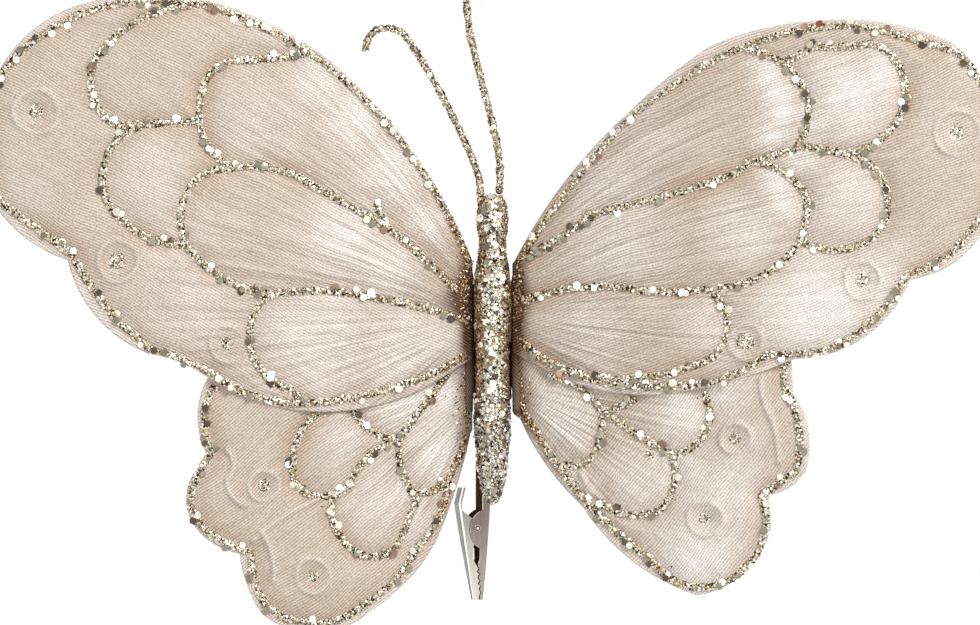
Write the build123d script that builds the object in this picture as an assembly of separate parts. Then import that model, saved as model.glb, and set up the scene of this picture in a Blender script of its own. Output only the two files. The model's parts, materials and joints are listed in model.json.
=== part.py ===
from build123d import *
import math
import os

os.makedirs("parts", exist_ok=True)

# A clip-on butterfly of moulded fabric, in millimetres.
# The origin is where the clip's teeth close, +Z runs from the clip up to the head,
# -Y is the decorated front and +X is to the right when the front is looked at.

# Body
body_axis_x = 4.1
body_axis_y = -7.5
body_bottom_z = 18.5
body_length = 78.0
body_radius = 4.65
glitter_coat = 0.5

# Wings
wing_reach = 125.0
wing_datum_z = 62.5
wing_root_slope = 18.0
wing_tip_slope = 4.0
wing_end_slope = -3.0
sheet_thickness = 0.9
wing_spacing = 0.9
forewing_gap = 0.25
bead_width = 1.6
bead_height = 0.8
spot_height = 1.0
blob_radius = 1.2
stiffener_width = 0.9
stiffener_height = 0.8

# Fold line of each wing pair, and the rolled root that turns on it
fold_offset_y = 2.6
root_roll_radius = 1.5
root_roll_bottom_z = 42.0
root_roll_length = 36.0
fold_clearance = 0.3
bead_root_gap = 1.0

# Glue that holds the body, the wing roots and the clip together
glue_pad_overlap = 1.5
glue_pad_behind = 0.9
glue_pad_front = 0.9
glue_bed_length = 7.0
glue_bed_drop = 0.5

# Antennae
antenna_length = 50.0
antenna_wire_radius = 0.4
antenna_coat = 0.4
antenna_bead_radius = 0.95
antenna_lean = 8.0
antenna_bend_share = 0.45
left_antenna_offset_x = -2.9
left_antenna_rise = 0.05
right_antenna_offset_x = 1.75
right_antenna_rise = 0.83

# Clip
clip_length = 35.0
clip_turn = 24.0
clip_width = 5.0
clip_tip_width = 2.8
clip_sheet = 0.4
clip_clearance = 0.15
tooth_count = 5
tooth_depth = 0.5
pin_radius = 0.55
pin_head_radius = 0.8
pin_head_height = 0.35
pin_clearance = 0.05
lug_radius = 2.5
lug_start_angle = 110.0
lug_end_angle = -70.0
spring_wire_radius = 0.2
spring_radius = 1.1
spring_pitch = 0.85
spring_gap = 0.2
spring_full_turns = 2
spring_start_angle = 210.0
spring_end_angle = 330.0

overrun = 10.0

# Half the body's outline, from the tail up to the head: radius and height, by turns a joint
# and the middle of the arc to the next joint
body_profile_shares = [
    (0.0, 0.0), (0.42, 0.024), (0.68, 0.075), (0.80, 0.115), (0.87, 0.172), (1.0, 0.255),
    (0.94, 0.345), (0.905, 0.480), (0.955, 0.590), (1.0, 0.660), (0.90, 0.765), (0.745, 0.830),
    (0.80, 0.875), (0.86, 0.915), (0.66, 0.965), (0.42, 0.990), (0.0, 1.0),
]

# Wing lines: distance out from the fold line and height over the datum, as shares of the
# wing's reach. Each list goes by turns from a joint to the middle of the arc to the next
# joint, and None in a middle's place makes that stretch straight.
left_forewing_outline_shares = [
    (-0.014, 0.116), (0.112, 0.356), (0.278, 0.538), (0.392, 0.608), (0.528, 0.658),
    (0.638, 0.670), (0.758, 0.652), (0.874, 0.592), (0.946, 0.492), (0.978, 0.380),
    (0.934, 0.236), (0.876, 0.180), (0.798, 0.140), (0.744, 0.030), (0.638, -0.046),
    (0.578, -0.062), (0.520, -0.094), (0.414, -0.144), (0.278, -0.162), (0.138, -0.136),
    (-0.002, -0.052), None, (-0.014, 0.116),
]
left_forewing_bead_shares = [
    [(-0.004, 0.124), (0.124, 0.364), (0.286, 0.532), (0.402, 0.602), (0.538, 0.652),
     (0.638, 0.658), (0.748, 0.638), (0.862, 0.580), (0.938, 0.500), (0.966, 0.384),
     (0.932, 0.254), (0.868, 0.208), (0.788, 0.148), (0.732, 0.058), (0.632, -0.040),
     (0.578, -0.056), (0.502, -0.094), (0.414, -0.136), (0.298, -0.144), (0.138, -0.112),
     (0.004, -0.050)],
    [(0.554, 0.648), (0.658, 0.618), (0.728, 0.562), (0.754, 0.496), (0.702, 0.408), None,
     (0.538, 0.416)],
    [(0.652, 0.406), (0.702, 0.378), (0.726, 0.334), (0.728, 0.276), (0.694, 0.222),
     (0.638, 0.184), (0.566, 0.170)],
    [(0.324, 0.552), (0.402, 0.542), (0.474, 0.538), (0.522, 0.502), (0.536, 0.450),
     (0.534, 0.400), (0.482, 0.328)],
    [(0.022, 0.078), (0.088, 0.142), (0.154, 0.200), (0.238, 0.248), (0.338, 0.304),
     (0.414, 0.326), (0.480, 0.322), (0.546, 0.296), (0.572, 0.250), (0.574, 0.208),
     (0.566, 0.170), (0.518, 0.122), (0.438, 0.080), None, (0.402, 0.074)],
    [(-0.002, 0.016), (0.098, 0.046), (0.198, 0.066), (0.298, 0.078), (0.398, 0.070),
     (0.436, 0.004), (0.358, -0.118), None, (0.328, -0.142)],
    [(0.186, 0.256), (0.178, 0.235), (0.166, 0.216)],
]
left_hindwing_outline_shares = [
    (-0.004, -0.196), (0.020, -0.294), (0.064, -0.416), (0.108, -0.484), (0.194, -0.560),
    (0.314, -0.604), (0.414, -0.566), (0.442, -0.510), (0.456, -0.446), (0.494, -0.434),
    (0.532, -0.408), (0.562, -0.350), (0.532, -0.268), None, (0.522, -0.248),
    (0.540, -0.170), (0.520, -0.096), (0.278, 0.000), (-0.010, -0.030), None,
    (-0.004, -0.196),
]
left_hindwing_bead_shares = [
    [(0.004, -0.214), (0.024, -0.264), (0.042, -0.300), (0.052, -0.360), (0.098, -0.430),
     (0.144, -0.496), (0.232, -0.566), (0.328, -0.586), (0.402, -0.554), (0.428, -0.500),
     (0.434, -0.446), None, (0.468, -0.432), (0.524, -0.400), (0.556, -0.346),
     (0.540, -0.286), (0.512, -0.244), (0.528, -0.176), (0.506, -0.112)],
    [(0.042, -0.088), (0.088, -0.150), (0.140, -0.218)],
    [(0.234, -0.156), (0.208, -0.192), (0.140, -0.218)],
    [(0.140, -0.218), (0.208, -0.262), (0.238, -0.314), None, (0.266, -0.332)],
    [(0.296, -0.162), (0.346, -0.228), (0.352, -0.280), (0.328, -0.324), (0.288, -0.334),
     (0.258, -0.326), (0.234, -0.314)],
    [(0.140, -0.218), (0.134, -0.280), (0.114, -0.324), (0.088, -0.326), (0.046, -0.304)],
    [(0.270, -0.336), (0.272, -0.384), (0.248, -0.422), (0.194, -0.454), (0.142, -0.432),
     None, (0.102, -0.334)],
]
right_forewing_outline_shares = [
    (-0.006, 0.128), (0.088, 0.282), (0.224, 0.432), (0.312, 0.510), (0.388, 0.566),
    (0.518, 0.606), (0.664, 0.618), (0.768, 0.606), (0.868, 0.572), (0.952, 0.454),
    (0.970, 0.350), (0.960, 0.260), (0.928, 0.194), (0.878, 0.140), (0.784, 0.102),
    (0.716, 0.004), (0.556, -0.056), (0.448, -0.096), (0.288, -0.128), (0.148, -0.114),
    (-0.010, -0.036), None, (-0.006, 0.128),
]
right_forewing_bead_shares = [
    [(0.004, 0.136), (0.094, 0.268), (0.218, 0.416), (0.338, 0.504), (0.408, 0.546),
     (0.528, 0.590), (0.668, 0.608), (0.778, 0.584), (0.878, 0.554), (0.938, 0.470),
     (0.952, 0.360), (0.944, 0.270), (0.914, 0.210), (0.868, 0.156), (0.778, 0.110),
     (0.714, 0.022), (0.630, -0.036), (0.568, -0.048), (0.502, -0.048), (0.458, -0.078),
     (0.388, -0.104), (0.268, -0.114), (0.168, -0.102), None, (0.088, -0.080)],
    [(0.458, 0.560), (0.548, 0.518), (0.584, 0.450), (0.578, 0.400), (0.554, 0.358),
     (0.524, 0.352), (0.478, 0.336)],
    [(0.532, 0.536), (0.562, 0.548), (0.592, 0.566), (0.658, 0.566), (0.712, 0.572),
     (0.772, 0.506), (0.774, 0.450), (0.738, 0.390), (0.658, 0.352)],
    [(0.562, 0.368), (0.624, 0.358), (0.688, 0.340), (0.742, 0.260), (0.708, 0.182),
     (0.648, 0.160), (0.568, 0.180)],
    [(0.012, 0.144), (0.088, 0.186), (0.158, 0.234), (0.298, 0.268), (0.438, 0.312), None,
     (0.464, 0.336), (0.528, 0.318), (0.580, 0.264), (0.576, 0.210), (0.564, 0.174),
     (0.498, 0.112), (0.404, 0.084)],
    [(0.010, 0.056), (0.098, 0.082), (0.218, 0.084), (0.308, 0.076), (0.380, 0.082),
     (0.422, 0.010), (0.348, -0.072), (0.228, -0.098), (0.108, -0.082), (0.048, -0.054),
     (0.008, -0.018)],
]
right_hindwing_outline_shares = [
    (-0.010, -0.124), (0.040, -0.236), (0.134, -0.352), (0.248, -0.472), (0.362, -0.530),
    (0.464, -0.476), (0.508, -0.390), None, (0.504, -0.328), (0.548, -0.312),
    (0.578, -0.278), (0.584, -0.214), (0.552, -0.126), None, (0.548, -0.056),
    (0.278, 0.010), (-0.012, -0.030), None, (-0.010, -0.124),
]
right_hindwing_bead_shares = [
    [(0.006, -0.144), (0.058, -0.234), (0.118, -0.316), (0.188, -0.392), (0.268, -0.456),
     (0.368, -0.514), (0.458, -0.474), (0.498, -0.396), (0.488, -0.330), None,
     (0.558, -0.284), (0.566, -0.220), (0.538, -0.116), (0.534, -0.084), (0.540, -0.056)],
    [(0.066, -0.090), (0.128, -0.116), (0.172, -0.166)],
    [(0.238, -0.136), (0.212, -0.152), (0.176, -0.162)],
    [(0.170, -0.170), (0.168, -0.220), (0.138, -0.268), (0.114, -0.272), (0.092, -0.270)],
    [(0.182, -0.166), (0.248, -0.212), (0.312, -0.248), (0.372, -0.216), (0.374, -0.126)],
    [(0.310, -0.252), (0.316, -0.310), (0.288, -0.360), (0.228, -0.370), (0.162, -0.338)],
]

# Glitter dots: place as shares of the wing's reach, and radius
left_forewing_spot_shares = [(0.862, 0.436), (0.700, 0.138), (0.483, -0.028)]
left_hindwing_spot_shares = [(0.409, -0.311), (0.311, -0.492)]
right_forewing_spot_shares = [(0.878, 0.394), (0.690, 0.100), (0.458, -0.024)]
right_hindwing_spot_shares = [(0.438, -0.216), (0.377, -0.377)]
right_forewing_blob_shares = [(0.144, 0.230)]
right_hindwing_blob_shares = [(0.266, -0.250)]
forewing_spot_radius = 2.0
hindwing_spot_radius = 1.6

# Stiffening wires glued behind the wings
forewing_stiffener_shares = [(0.030, 0.060), (0.330, 0.236), (0.700, 0.340)]
hindwing_stiffener_shares = [(0.030, -0.130), (0.180, -0.220), (0.400, -0.390)]

# Antennae: how far the wire leans left and how high it stands over its foot
left_antenna_shares = [
    (0.0, 0.0), (0.010, 0.100), (0.100, 0.315), (0.235, 0.575), (0.345, 0.755),
    (0.410, 0.835), (0.505, 0.840), (0.565, 0.795), (0.580, 0.720),
]
right_antenna_shares = [
    (0.0, 0.0), (-0.006, 0.140), (0.030, 0.330), (0.108, 0.620), (0.150, 0.800),
    (0.168, 0.960), (0.160, 1.055), (0.115, 1.090), (0.078, 1.045), (0.100, 0.965),
]

# Clip, seen along its pin: across the jaws and along the clip, as shares of its length
fixed_back_shares = [
    (0.079, 0.843), (0.079, 0.550), (0.068, 0.364), (0.056, 0.143), (0.044, -0.071),
    (0.034, -0.150),
]
fixed_ear_shares = [(0.024, 0.497), (-0.074, 0.364), (0.007, 0.221)]
fixed_window_shares = [(0.007, 0.143), (-0.009, 0.097)]
moving_back_shares = [
    (-0.118, 0.657), (-0.147, 0.543), (-0.116, 0.357), (-0.098, 0.250), (-0.079, 0.143),
    (-0.060, 0.036), (-0.040, -0.086), (-0.028, -0.149),
]
moving_flange_top_share = (-0.134, 0.493)
moving_window_shares = [(-0.041, 0.236), (-0.041, 0.143), (-0.014, 0.097)]
teeth_end_share = (0.016, -0.117)
pivot_share = (-0.023, 0.364)

# Worked out from the sizes above
fold_reach = body_radius + fold_clearance + root_roll_radius
fold_offset_x = math.sqrt(fold_reach ** 2 - fold_offset_y ** 2)
fold_y = body_axis_y + fold_offset_y
fold_x = {"left": body_axis_x - fold_offset_x, "right": body_axis_x + fold_offset_x}
outward = {"left": -1.0, "right": 1.0}
root_sine = math.sin(math.radians(wing_root_slope))
root_cosine = math.cos(math.radians(wing_root_slope))
tip_sine = math.sin(math.radians(wing_tip_slope))
tip_cosine = math.cos(math.radians(wing_tip_slope))
wing_bend_radius = wing_reach / (root_sine - tip_sine)
wing_depth = wing_bend_radius * (tip_cosine - root_cosine)
forewing_back = wing_bend_radius + forewing_gap
forewing_front = forewing_back + sheet_thickness
hindwing_front = forewing_back - wing_spacing
hindwing_back = hindwing_front - sheet_thickness
glue_pad_back_y = body_axis_y + body_radius + glue_pad_behind
pivot_x = pivot_share[0] * clip_length
pivot_z = pivot_share[1] * clip_length
clip_top_z = fixed_back_shares[0][1] * clip_length
spring_room = fixed_back_shares[2][0] * clip_length - pivot_x
spring_room -= clip_sheet + spring_gap + spring_wire_radius
spring_end_turn = math.radians(spring_end_angle)
spring_leg = (spring_radius * math.cos(spring_end_turn) - spring_room) / math.sin(spring_end_turn)
moving_width = clip_width - 2 * (clip_sheet + clip_clearance)
moving_tip_width = clip_tip_width - 2 * (clip_sheet + clip_clearance)


def joined(pieces):
    """One shape from pieces that run into each other."""
    return pieces[0].fuse(*pieces[1:])


def curve(start, middle, end):
    """A straight stretch, or the arc through its middle."""
    if middle is None:
        return Line(start, end)
    return ThreePointArc(start, middle, end)


def closed_face(points):
    """The face inside a closed chain of joints and middles."""
    edges = []
    for place in range(0, len(points) - 2, 2):
        edges += curve(points[place], points[place + 1], points[place + 2]).edges()
    return Face(Wire(edges))


def swell(start, middle, end):
    """A gentle curve that passes through its middle."""
    return Bezier(start, middle * 2 - (start + end) / 2, end)


def wing_point(side, share):
    """A point of a wing line in the plane of the front view."""
    if share is None:
        return None
    out = fold_x[side] + outward[side] * wing_reach * share[0]
    return Vector(out, 0, wing_datum_z + wing_reach * share[1])


def wing_prism(face):
    """A front-view face carried through the whole depth of the wings."""
    start = Pos(0, fold_y + overrun, 0) * face
    return extrude(start, wing_depth + 2 * overrun, dir=(0, -1, 0))


def wing_layer(side, inner, outer):
    """The bent layer between two radii: a sector of a tall, wide tube."""
    sign = outward[side]
    centre_x = fold_x[side] + sign * wing_bend_radius * root_sine
    centre_y = fold_y + wing_bend_radius * root_cosine

    def on_arc(radius, slope):
        angle = math.radians(slope)
        return Vector(centre_x - sign * radius * math.sin(angle), centre_y - radius * math.cos(angle), 0)

    mean_slope = (wing_root_slope + wing_end_slope) / 2
    section = closed_face([
        on_arc(inner, wing_root_slope), on_arc(inner, mean_slope), on_arc(inner, wing_end_slope),
        None, on_arc(outer, wing_end_slope), on_arc(outer, mean_slope),
        on_arc(outer, wing_root_slope), None, on_arc(inner, wing_root_slope),
    ])
    low = Pos(0, 0, wing_datum_z - wing_reach) * section
    return extrude(low, 2 * wing_reach, dir=(0, 0, 1))


def root_cylinder(side, radius):
    """A cylinder about the fold line, along the whole wing."""
    return Pos(fold_x[side], fold_y, wing_datum_z) * Cylinder(radius, 2 * wing_reach)


def wing_sheet(side, outline_shares, inner, outer):
    """A moulded fabric wing: its outline cut from a bent layer, open for the rolled root."""
    outline = closed_face([wing_point(side, share) for share in outline_shares])
    sheet = wing_prism(outline) & wing_layer(side, inner, outer)
    return sheet - root_roll(side)


def root_roll(side):
    """The rolled and glued root that both wings of a side share."""
    middle_z = root_roll_bottom_z + root_roll_length / 2
    return Pos(fold_x[side], fold_y, middle_z) * Cylinder(root_roll_radius, root_roll_length)


def ribbon(side, chain_shares, width):
    """The face of a bent line of the given width, with round ends."""
    points = [wing_point(side, share) for share in chain_shares]
    edges = []
    for place in range(0, len(points) - 2, 2):
        edges += curve(points[place], points[place + 1], points[place + 2]).edges()
    outline = Wire(edges).offset_2d(width / 2, kind=Kind.ARC, side=Side.BOTH, closed=True)
    return Face(outline)


def disc(side, share, radius):
    """A round face at a point of a wing."""
    place = wing_point(side, share)
    return Pos(place.X, 0, place.Z) * (Plane.XZ * Circle(radius))


def glitter_lines(side, bead_shares, blob_shares, front):
    """The glitter border and veins of a wing, as one raised layer on its front."""
    faces = [ribbon(side, chain_shares, bead_width) for chain_shares in bead_shares]
    faces += [disc(side, share, blob_radius) for share in blob_shares]
    flat = joined(faces)
    raised = wing_prism(flat) & wing_layer(side, front, front + bead_height)
    return raised - root_cylinder(side, root_roll_radius + bead_root_gap)


def glitter_spots(side, spot_shares, radius, front):
    """Round glitter dots on a wing's front."""
    layer = wing_layer(side, front, front + spot_height)
    return [wing_prism(disc(side, share, radius)) & layer for share in spot_shares]


def stiffener(side, chain_shares, back):
    """A glued wire behind a wing, bent with it."""
    flat = ribbon(side, chain_shares, stiffener_width)
    return wing_prism(flat) & wing_layer(side, back - stiffener_height, back)


def body_solid(skin):
    """The body turned about its own axis, with its surface moved in by the skin."""
    radius = body_radius - skin
    length = body_length - 2 * skin
    points = [
        Vector(body_axis_x + radius * share[0], body_axis_y, body_bottom_z + skin + length * share[1])
        for share in body_profile_shares
    ]
    edges = Line(points[-1], points[0]).edges()
    for place in range(0, len(points) - 2, 2):
        edges += swell(points[place], points[place + 1], points[place + 2]).edges()
    axis = Axis((body_axis_x, body_axis_y, 0), (0, 0, 1))
    return revolve(Face(Wire(edges)), axis)


def glue_pad():
    """The glue behind the body, hollowed for both rolled roots to turn in."""
    width = 2 * fold_offset_x
    front_y = fold_y - glue_pad_front
    depth = glue_pad_back_y - front_y
    height = root_roll_length + 2 * glue_pad_overlap
    middle_z = root_roll_bottom_z + root_roll_length / 2
    pad = Pos(body_axis_x, front_y + depth / 2, middle_z) * Box(width, depth, height)
    pad -= body_solid(0)
    for side in ("left", "right"):
        pad -= root_cylinder(side, root_roll_radius + fold_clearance)
    return pad


def clip_place(shape):
    """Turns a clip piece from the clip's own frame into the butterfly's."""
    return Rot(0, 0, clip_turn) * shape


def glue_bed():
    """The glue between the clip's tail and the back of the body."""
    low_x = fixed_ear_shares[0][0] * clip_length
    high_x = fixed_back_shares[0][0] * clip_length
    top_z = clip_top_z - glue_bed_drop
    depth = -body_axis_y - clip_width / 2
    middle = Pos((low_x + high_x) / 2, -clip_width / 2 - depth / 2, top_z - glue_bed_length / 2)
    bed = middle * Box(high_x - low_x, depth, glue_bed_length)
    return clip_place(bed) - body_solid(0)


def clip_point(share):
    """A point of the clip's outline in the plane across its pin."""
    return Vector(share[0] * clip_length, 0, share[1] * clip_length)


def teeth(shift):
    """The zigzag along a jaw's edge, from the window down to the tip."""
    start = clip_point(fixed_window_shares[-1]) + Vector(shift, 0, 0)
    end = clip_point(teeth_end_share) + Vector(shift, 0, 0)
    step = (end - start) / tooth_count
    points = []
    for number in range(tooth_count):
        points.append(start + step * number)
        points.append(start + step * (number + 1 / 2) + Vector(tooth_depth, 0, 0))
    return points + [end]


def side_face(points):
    """The face inside straight stretches between points across the pin."""
    chain = []
    for point in points:
        chain += [point, None]
    return closed_face(chain + [points[0]])


def across_pin(face):
    """A side face carried across the whole width of the clip."""
    start = Pos(0, -clip_width, 0) * face
    return extrude(start, 2 * clip_width, dir=(0, 1, 0))


def tapered_block(width, tip_width):
    """All that lies within the clip's width, which narrows from the pivot to the tip."""
    top = clip_top_z + overrun
    bottom = fixed_back_shares[-1][1] * clip_length
    half = width / 2
    tip_half = tip_width / 2
    points = [
        Vector(0, -half, top), Vector(0, half, top), Vector(0, half, pivot_z),
        Vector(0, tip_half, bottom), Vector(0, -tip_half, bottom), Vector(0, -half, pivot_z),
    ]
    face = Pos(-clip_length, 0, 0) * side_face(points)
    return extrude(face, 2 * clip_length, dir=(1, 0, 0))


def behind(back_points, shift, reach):
    """The region on one side of a jaw's web, for hollowing its channel."""
    moved = [point + Vector(shift, 0, 0) for point in back_points]
    top = moved[0] + Vector(0, 0, overrun)
    bottom = moved[-1] - Vector(0, 0, overrun)
    far_bottom = bottom + Vector(reach, 0, 0)
    far_top = Vector(far_bottom.X, 0, top.Z)
    return side_face([top] + moved + [bottom, far_bottom, far_top])


def fixed_jaw():
    """The stamped channel with the ears, which is glued to the body."""
    back = [clip_point(share) for share in fixed_back_shares]
    ear = [clip_point(share) for share in fixed_ear_shares]
    window = [clip_point(share) for share in fixed_window_shares]
    zigzag = teeth(0)
    tip = Vector(zigzag[-1].X, 0, back[-1].Z)
    chain = []
    for point in back + [tip] + zigzag[::-1] + [window[0]]:
        chain += [point, None]
    chain += [ear[2], ear[1], ear[0], None]
    tail_corner = Vector(ear[0].X, 0, back[0].Z)
    chain += [tail_corner, None, back[0]]
    outer = across_pin(closed_face(chain)) & tapered_block(clip_width, clip_tip_width)
    hollow = across_pin(behind(back, -clip_sheet, -clip_length))
    inner_width = clip_width - 2 * clip_sheet
    hollow &= tapered_block(inner_width, clip_tip_width - 2 * clip_sheet)
    return outer - hollow - pivot_cylinder(pin_radius, 2 * clip_width)


def moving_jaw():
    """The stamped lever with the thumb plate, inside the fixed jaw's ears."""
    back = [clip_point(share) for share in moving_back_shares]
    window = [clip_point(share) for share in moving_window_shares]
    zigzag = teeth(-clip_sheet / 2)
    tip = Vector(zigzag[-1].X, 0, back[-1].Z)
    pivot = Vector(pivot_x, 0, pivot_z)

    def on_lug(angle):
        turn = math.radians(angle)
        return pivot + Vector(lug_radius * math.cos(turn), 0, lug_radius * math.sin(turn))

    thumb_inner = back[0] + Vector(clip_sheet, 0, 0)
    bend_inner = back[1] + Vector(clip_sheet, 0, 0)
    chain = []
    for point in [thumb_inner, bend_inner, clip_point(moving_flange_top_share)]:
        chain += [point, None]
    chain += [on_lug(lug_start_angle), on_lug(0), on_lug(lug_end_angle), None]
    for point in window[:-1] + zigzag + [tip] + back[::-1]:
        chain += [point, None]
    outer = across_pin(closed_face(chain + [thumb_inner]))
    outer &= tapered_block(moving_width, moving_tip_width)
    hollow = across_pin(behind(back, clip_sheet, clip_length))
    inner_width = moving_width - 2 * clip_sheet
    hollow &= tapered_block(inner_width, moving_tip_width - 2 * clip_sheet)
    return outer - hollow - pivot_cylinder(pin_radius + pin_clearance, 2 * clip_width)


def pivot_cylinder(radius, length):
    """A cylinder along the clip's pin."""
    return Pos(pivot_x, 0, pivot_z) * (Rot(90, 0, 0) * Cylinder(radius, length))


def pivot_pin():
    """The rivet that both jaws turn on, with its two rolled heads."""
    pin = pivot_cylinder(pin_radius, clip_width)
    heads = pivot_cylinder(pin_head_radius, clip_width + 2 * pin_head_height)
    heads -= pivot_cylinder(pin_head_radius + overrun, clip_width)
    return pin + heads


def torsion_spring():
    """The coil round the pin, with one leg on each jaw."""
    turns = spring_full_turns + (spring_end_angle - spring_start_angle) / 360
    height = turns * spring_pitch
    coil_path = Helix(spring_pitch, height, spring_radius)
    path_start = coil_path @ 0
    section = Plane(path_start, z_dir=coil_path % 0) * Circle(spring_wire_radius)
    coil = sweep(section, path=coil_path, is_frenet=True)
    upright = Pos(0, 0, -height / 2) * (Rot(0, 0, spring_start_angle) * coil)
    pieces = [Pos(pivot_x, 0, pivot_z) * (Rot(90, 0, 0) * upright)]
    for angle, side in ((spring_start_angle, -1), (spring_end_angle, 1)):
        turn = math.radians(angle)
        foot = Vector(
            pivot_x + spring_radius * math.cos(turn), -side * height / 2,
            pivot_z + spring_radius * math.sin(turn),
        )
        along = Vector(-side * math.sin(turn), 0, side * math.cos(turn))
        leg = Plane(foot, z_dir=along) * Cylinder(
            spring_wire_radius, spring_leg, align=(Align.CENTER, Align.CENTER, Align.MIN)
        )
        knuckle = Pos(foot.X, foot.Y, foot.Z) * Sphere(spring_wire_radius)
        pieces += [leg, knuckle]
    return joined(pieces)


def antenna_path(shares, foot):
    """A smooth bent wire: straight runs joined by arcs as large as the runs allow."""
    points = [foot + Vector(-antenna_length * lean, 0, antenna_length * rise) for lean, rise in shares]
    radii = []
    for before, corner, after in zip(points, points[1:], points[2:]):
        half_turn = math.radians((corner - before).get_angle(after - corner)) / 2
        shorter = min((corner - before).length, (after - corner).length)
        radii.append(antenna_bend_share * shorter / math.tan(half_turn))
    return FilletPolyline(*points, radius=radii)


def lean_forward(shape, foot):
    """Leans an antenna towards the front about its foot."""
    return Pos(foot.X, foot.Y, foot.Z) * (
        Rot(antenna_lean, 0, 0) * (Pos(-foot.X, -foot.Y, -foot.Z) * shape)
    )


def antenna(shares, offset_x, rise):
    """An antenna's bare wire and the glitter coat round it, with its bead at the foot."""
    foot = Vector(body_axis_x + offset_x, body_axis_y, body_bottom_z + body_length + rise)
    path = antenna_path(shares, foot)
    start = Plane(path @ 0, z_dir=path % 0)
    wire = sweep(start * Circle(antenna_wire_radius), path=path)
    coat = sweep(start * Circle(antenna_wire_radius + antenna_coat), path=path)
    bead = Pos(foot.X, foot.Y, foot.Z) * Sphere(antenna_bead_radius)
    coat = coat + bead - wire
    return lean_forward(wire, foot), lean_forward(coat, foot)


def write(name, shape):
    """Writes one named piece, or a group of like pieces."""
    pieces = shape if isinstance(shape, list) else [shape]
    solids = [solid for piece in pieces for solid in piece.solids()]
    whole = solids[0] if len(solids) == 1 else Compound(children=solids)
    whole.label = name
    export_step(whole, f"parts/{name}.step")


def write_wing(side, name, outline, beads, spots, spot_radius, blobs, wire, layers):
    """Writes a wing with what is on its front and behind it."""
    back, front = layers
    write(f"{name}_{side}", wing_sheet(side, outline, back, front))
    write(f"{name}_glitter_lines_{side}", glitter_lines(side, beads, blobs, front))
    write(f"{name}_glitter_spots_{side}", glitter_spots(side, spots, spot_radius, front))
    write(f"{name}_wire_{side}", stiffener(side, wire, back))


fore_layers = (forewing_back, forewing_front)
hind_layers = (hindwing_back, hindwing_front)
write_wing(
    "left", "forewing", left_forewing_outline_shares, left_forewing_bead_shares,
    left_forewing_spot_shares, forewing_spot_radius, [], forewing_stiffener_shares, fore_layers,
)
write_wing(
    "left", "hindwing", left_hindwing_outline_shares, left_hindwing_bead_shares,
    left_hindwing_spot_shares, hindwing_spot_radius, [], hindwing_stiffener_shares, hind_layers,
)
write_wing(
    "right", "forewing", right_forewing_outline_shares, right_forewing_bead_shares,
    right_forewing_spot_shares, forewing_spot_radius, right_forewing_blob_shares,
    forewing_stiffener_shares, fore_layers,
)
write_wing(
    "right", "hindwing", right_hindwing_outline_shares, right_hindwing_bead_shares,
    right_hindwing_spot_shares, hindwing_spot_radius, right_hindwing_blob_shares,
    hindwing_stiffener_shares, hind_layers,
)
for wing_side in ("left", "right"):
    write(f"wing_root_roll_{wing_side}", root_roll(wing_side))

body_core = body_solid(glitter_coat)
write("body_core", body_core)
write("body_glitter_coat", body_solid(0) - body_core)
write("glue_pad", glue_pad())
write("clip_glue_bed", glue_bed())

antennae = (
    ("left", left_antenna_shares, left_antenna_offset_x, left_antenna_rise),
    ("right", right_antenna_shares, right_antenna_offset_x, right_antenna_rise),
)
for antenna_side, *antenna_sizes in antennae:
    antenna_wire, antenna_glitter = antenna(*antenna_sizes)
    write(f"antenna_wire_{antenna_side}", antenna_wire)
    write(f"antenna_glitter_{antenna_side}", antenna_glitter)

write("clip_fixed_jaw", clip_place(fixed_jaw()))
write("clip_moving_jaw", clip_place(moving_jaw()))
write("clip_pivot_pin", clip_place(pivot_pin()))
write("clip_spring", clip_place(torsion_spring()))
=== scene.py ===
import json
import math

import bpy
import numpy as np
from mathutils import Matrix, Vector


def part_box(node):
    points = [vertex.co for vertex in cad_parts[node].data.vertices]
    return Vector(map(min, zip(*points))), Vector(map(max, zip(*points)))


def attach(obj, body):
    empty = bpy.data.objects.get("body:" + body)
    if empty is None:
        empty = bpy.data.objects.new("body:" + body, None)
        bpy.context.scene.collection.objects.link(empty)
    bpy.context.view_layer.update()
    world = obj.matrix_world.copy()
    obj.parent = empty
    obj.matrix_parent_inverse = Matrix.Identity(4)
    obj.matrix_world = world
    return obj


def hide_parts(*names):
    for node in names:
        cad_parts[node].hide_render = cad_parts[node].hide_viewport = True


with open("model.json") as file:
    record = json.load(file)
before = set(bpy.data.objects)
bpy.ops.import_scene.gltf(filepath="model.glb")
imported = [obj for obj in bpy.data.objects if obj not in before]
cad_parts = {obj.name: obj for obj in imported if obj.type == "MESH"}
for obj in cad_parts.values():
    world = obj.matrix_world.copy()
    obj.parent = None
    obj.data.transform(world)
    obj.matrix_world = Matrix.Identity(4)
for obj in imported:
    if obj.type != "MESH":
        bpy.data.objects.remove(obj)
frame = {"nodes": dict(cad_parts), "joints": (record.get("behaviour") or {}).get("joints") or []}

bl_info = {
    "name": "Butterfly ornament",
    "version": (1, 0, 0),
    "blender": (4, 5, 0),
    "location": "View3D > Sidebar > Butterfly",
    "description": "Moulded satin wings veined in glitter, a glittered body and a sprung clip",
    "category": "Add Mesh",
}

SIDES = ("left", "right")
OUTWARD = {"left": -1.0, "right": 1.0}
JOINTS = {joint["name"]: joint for joint in frame["joints"]}
FOLD = {side: np.array(JOINTS[f"{side}_wings_fold"]["pos_m"]) for side in SIDES}
FEET = {side: np.array(JOINTS[f"{side}_antenna_bends"]["pos_m"]) for side in SIDES}

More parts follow.
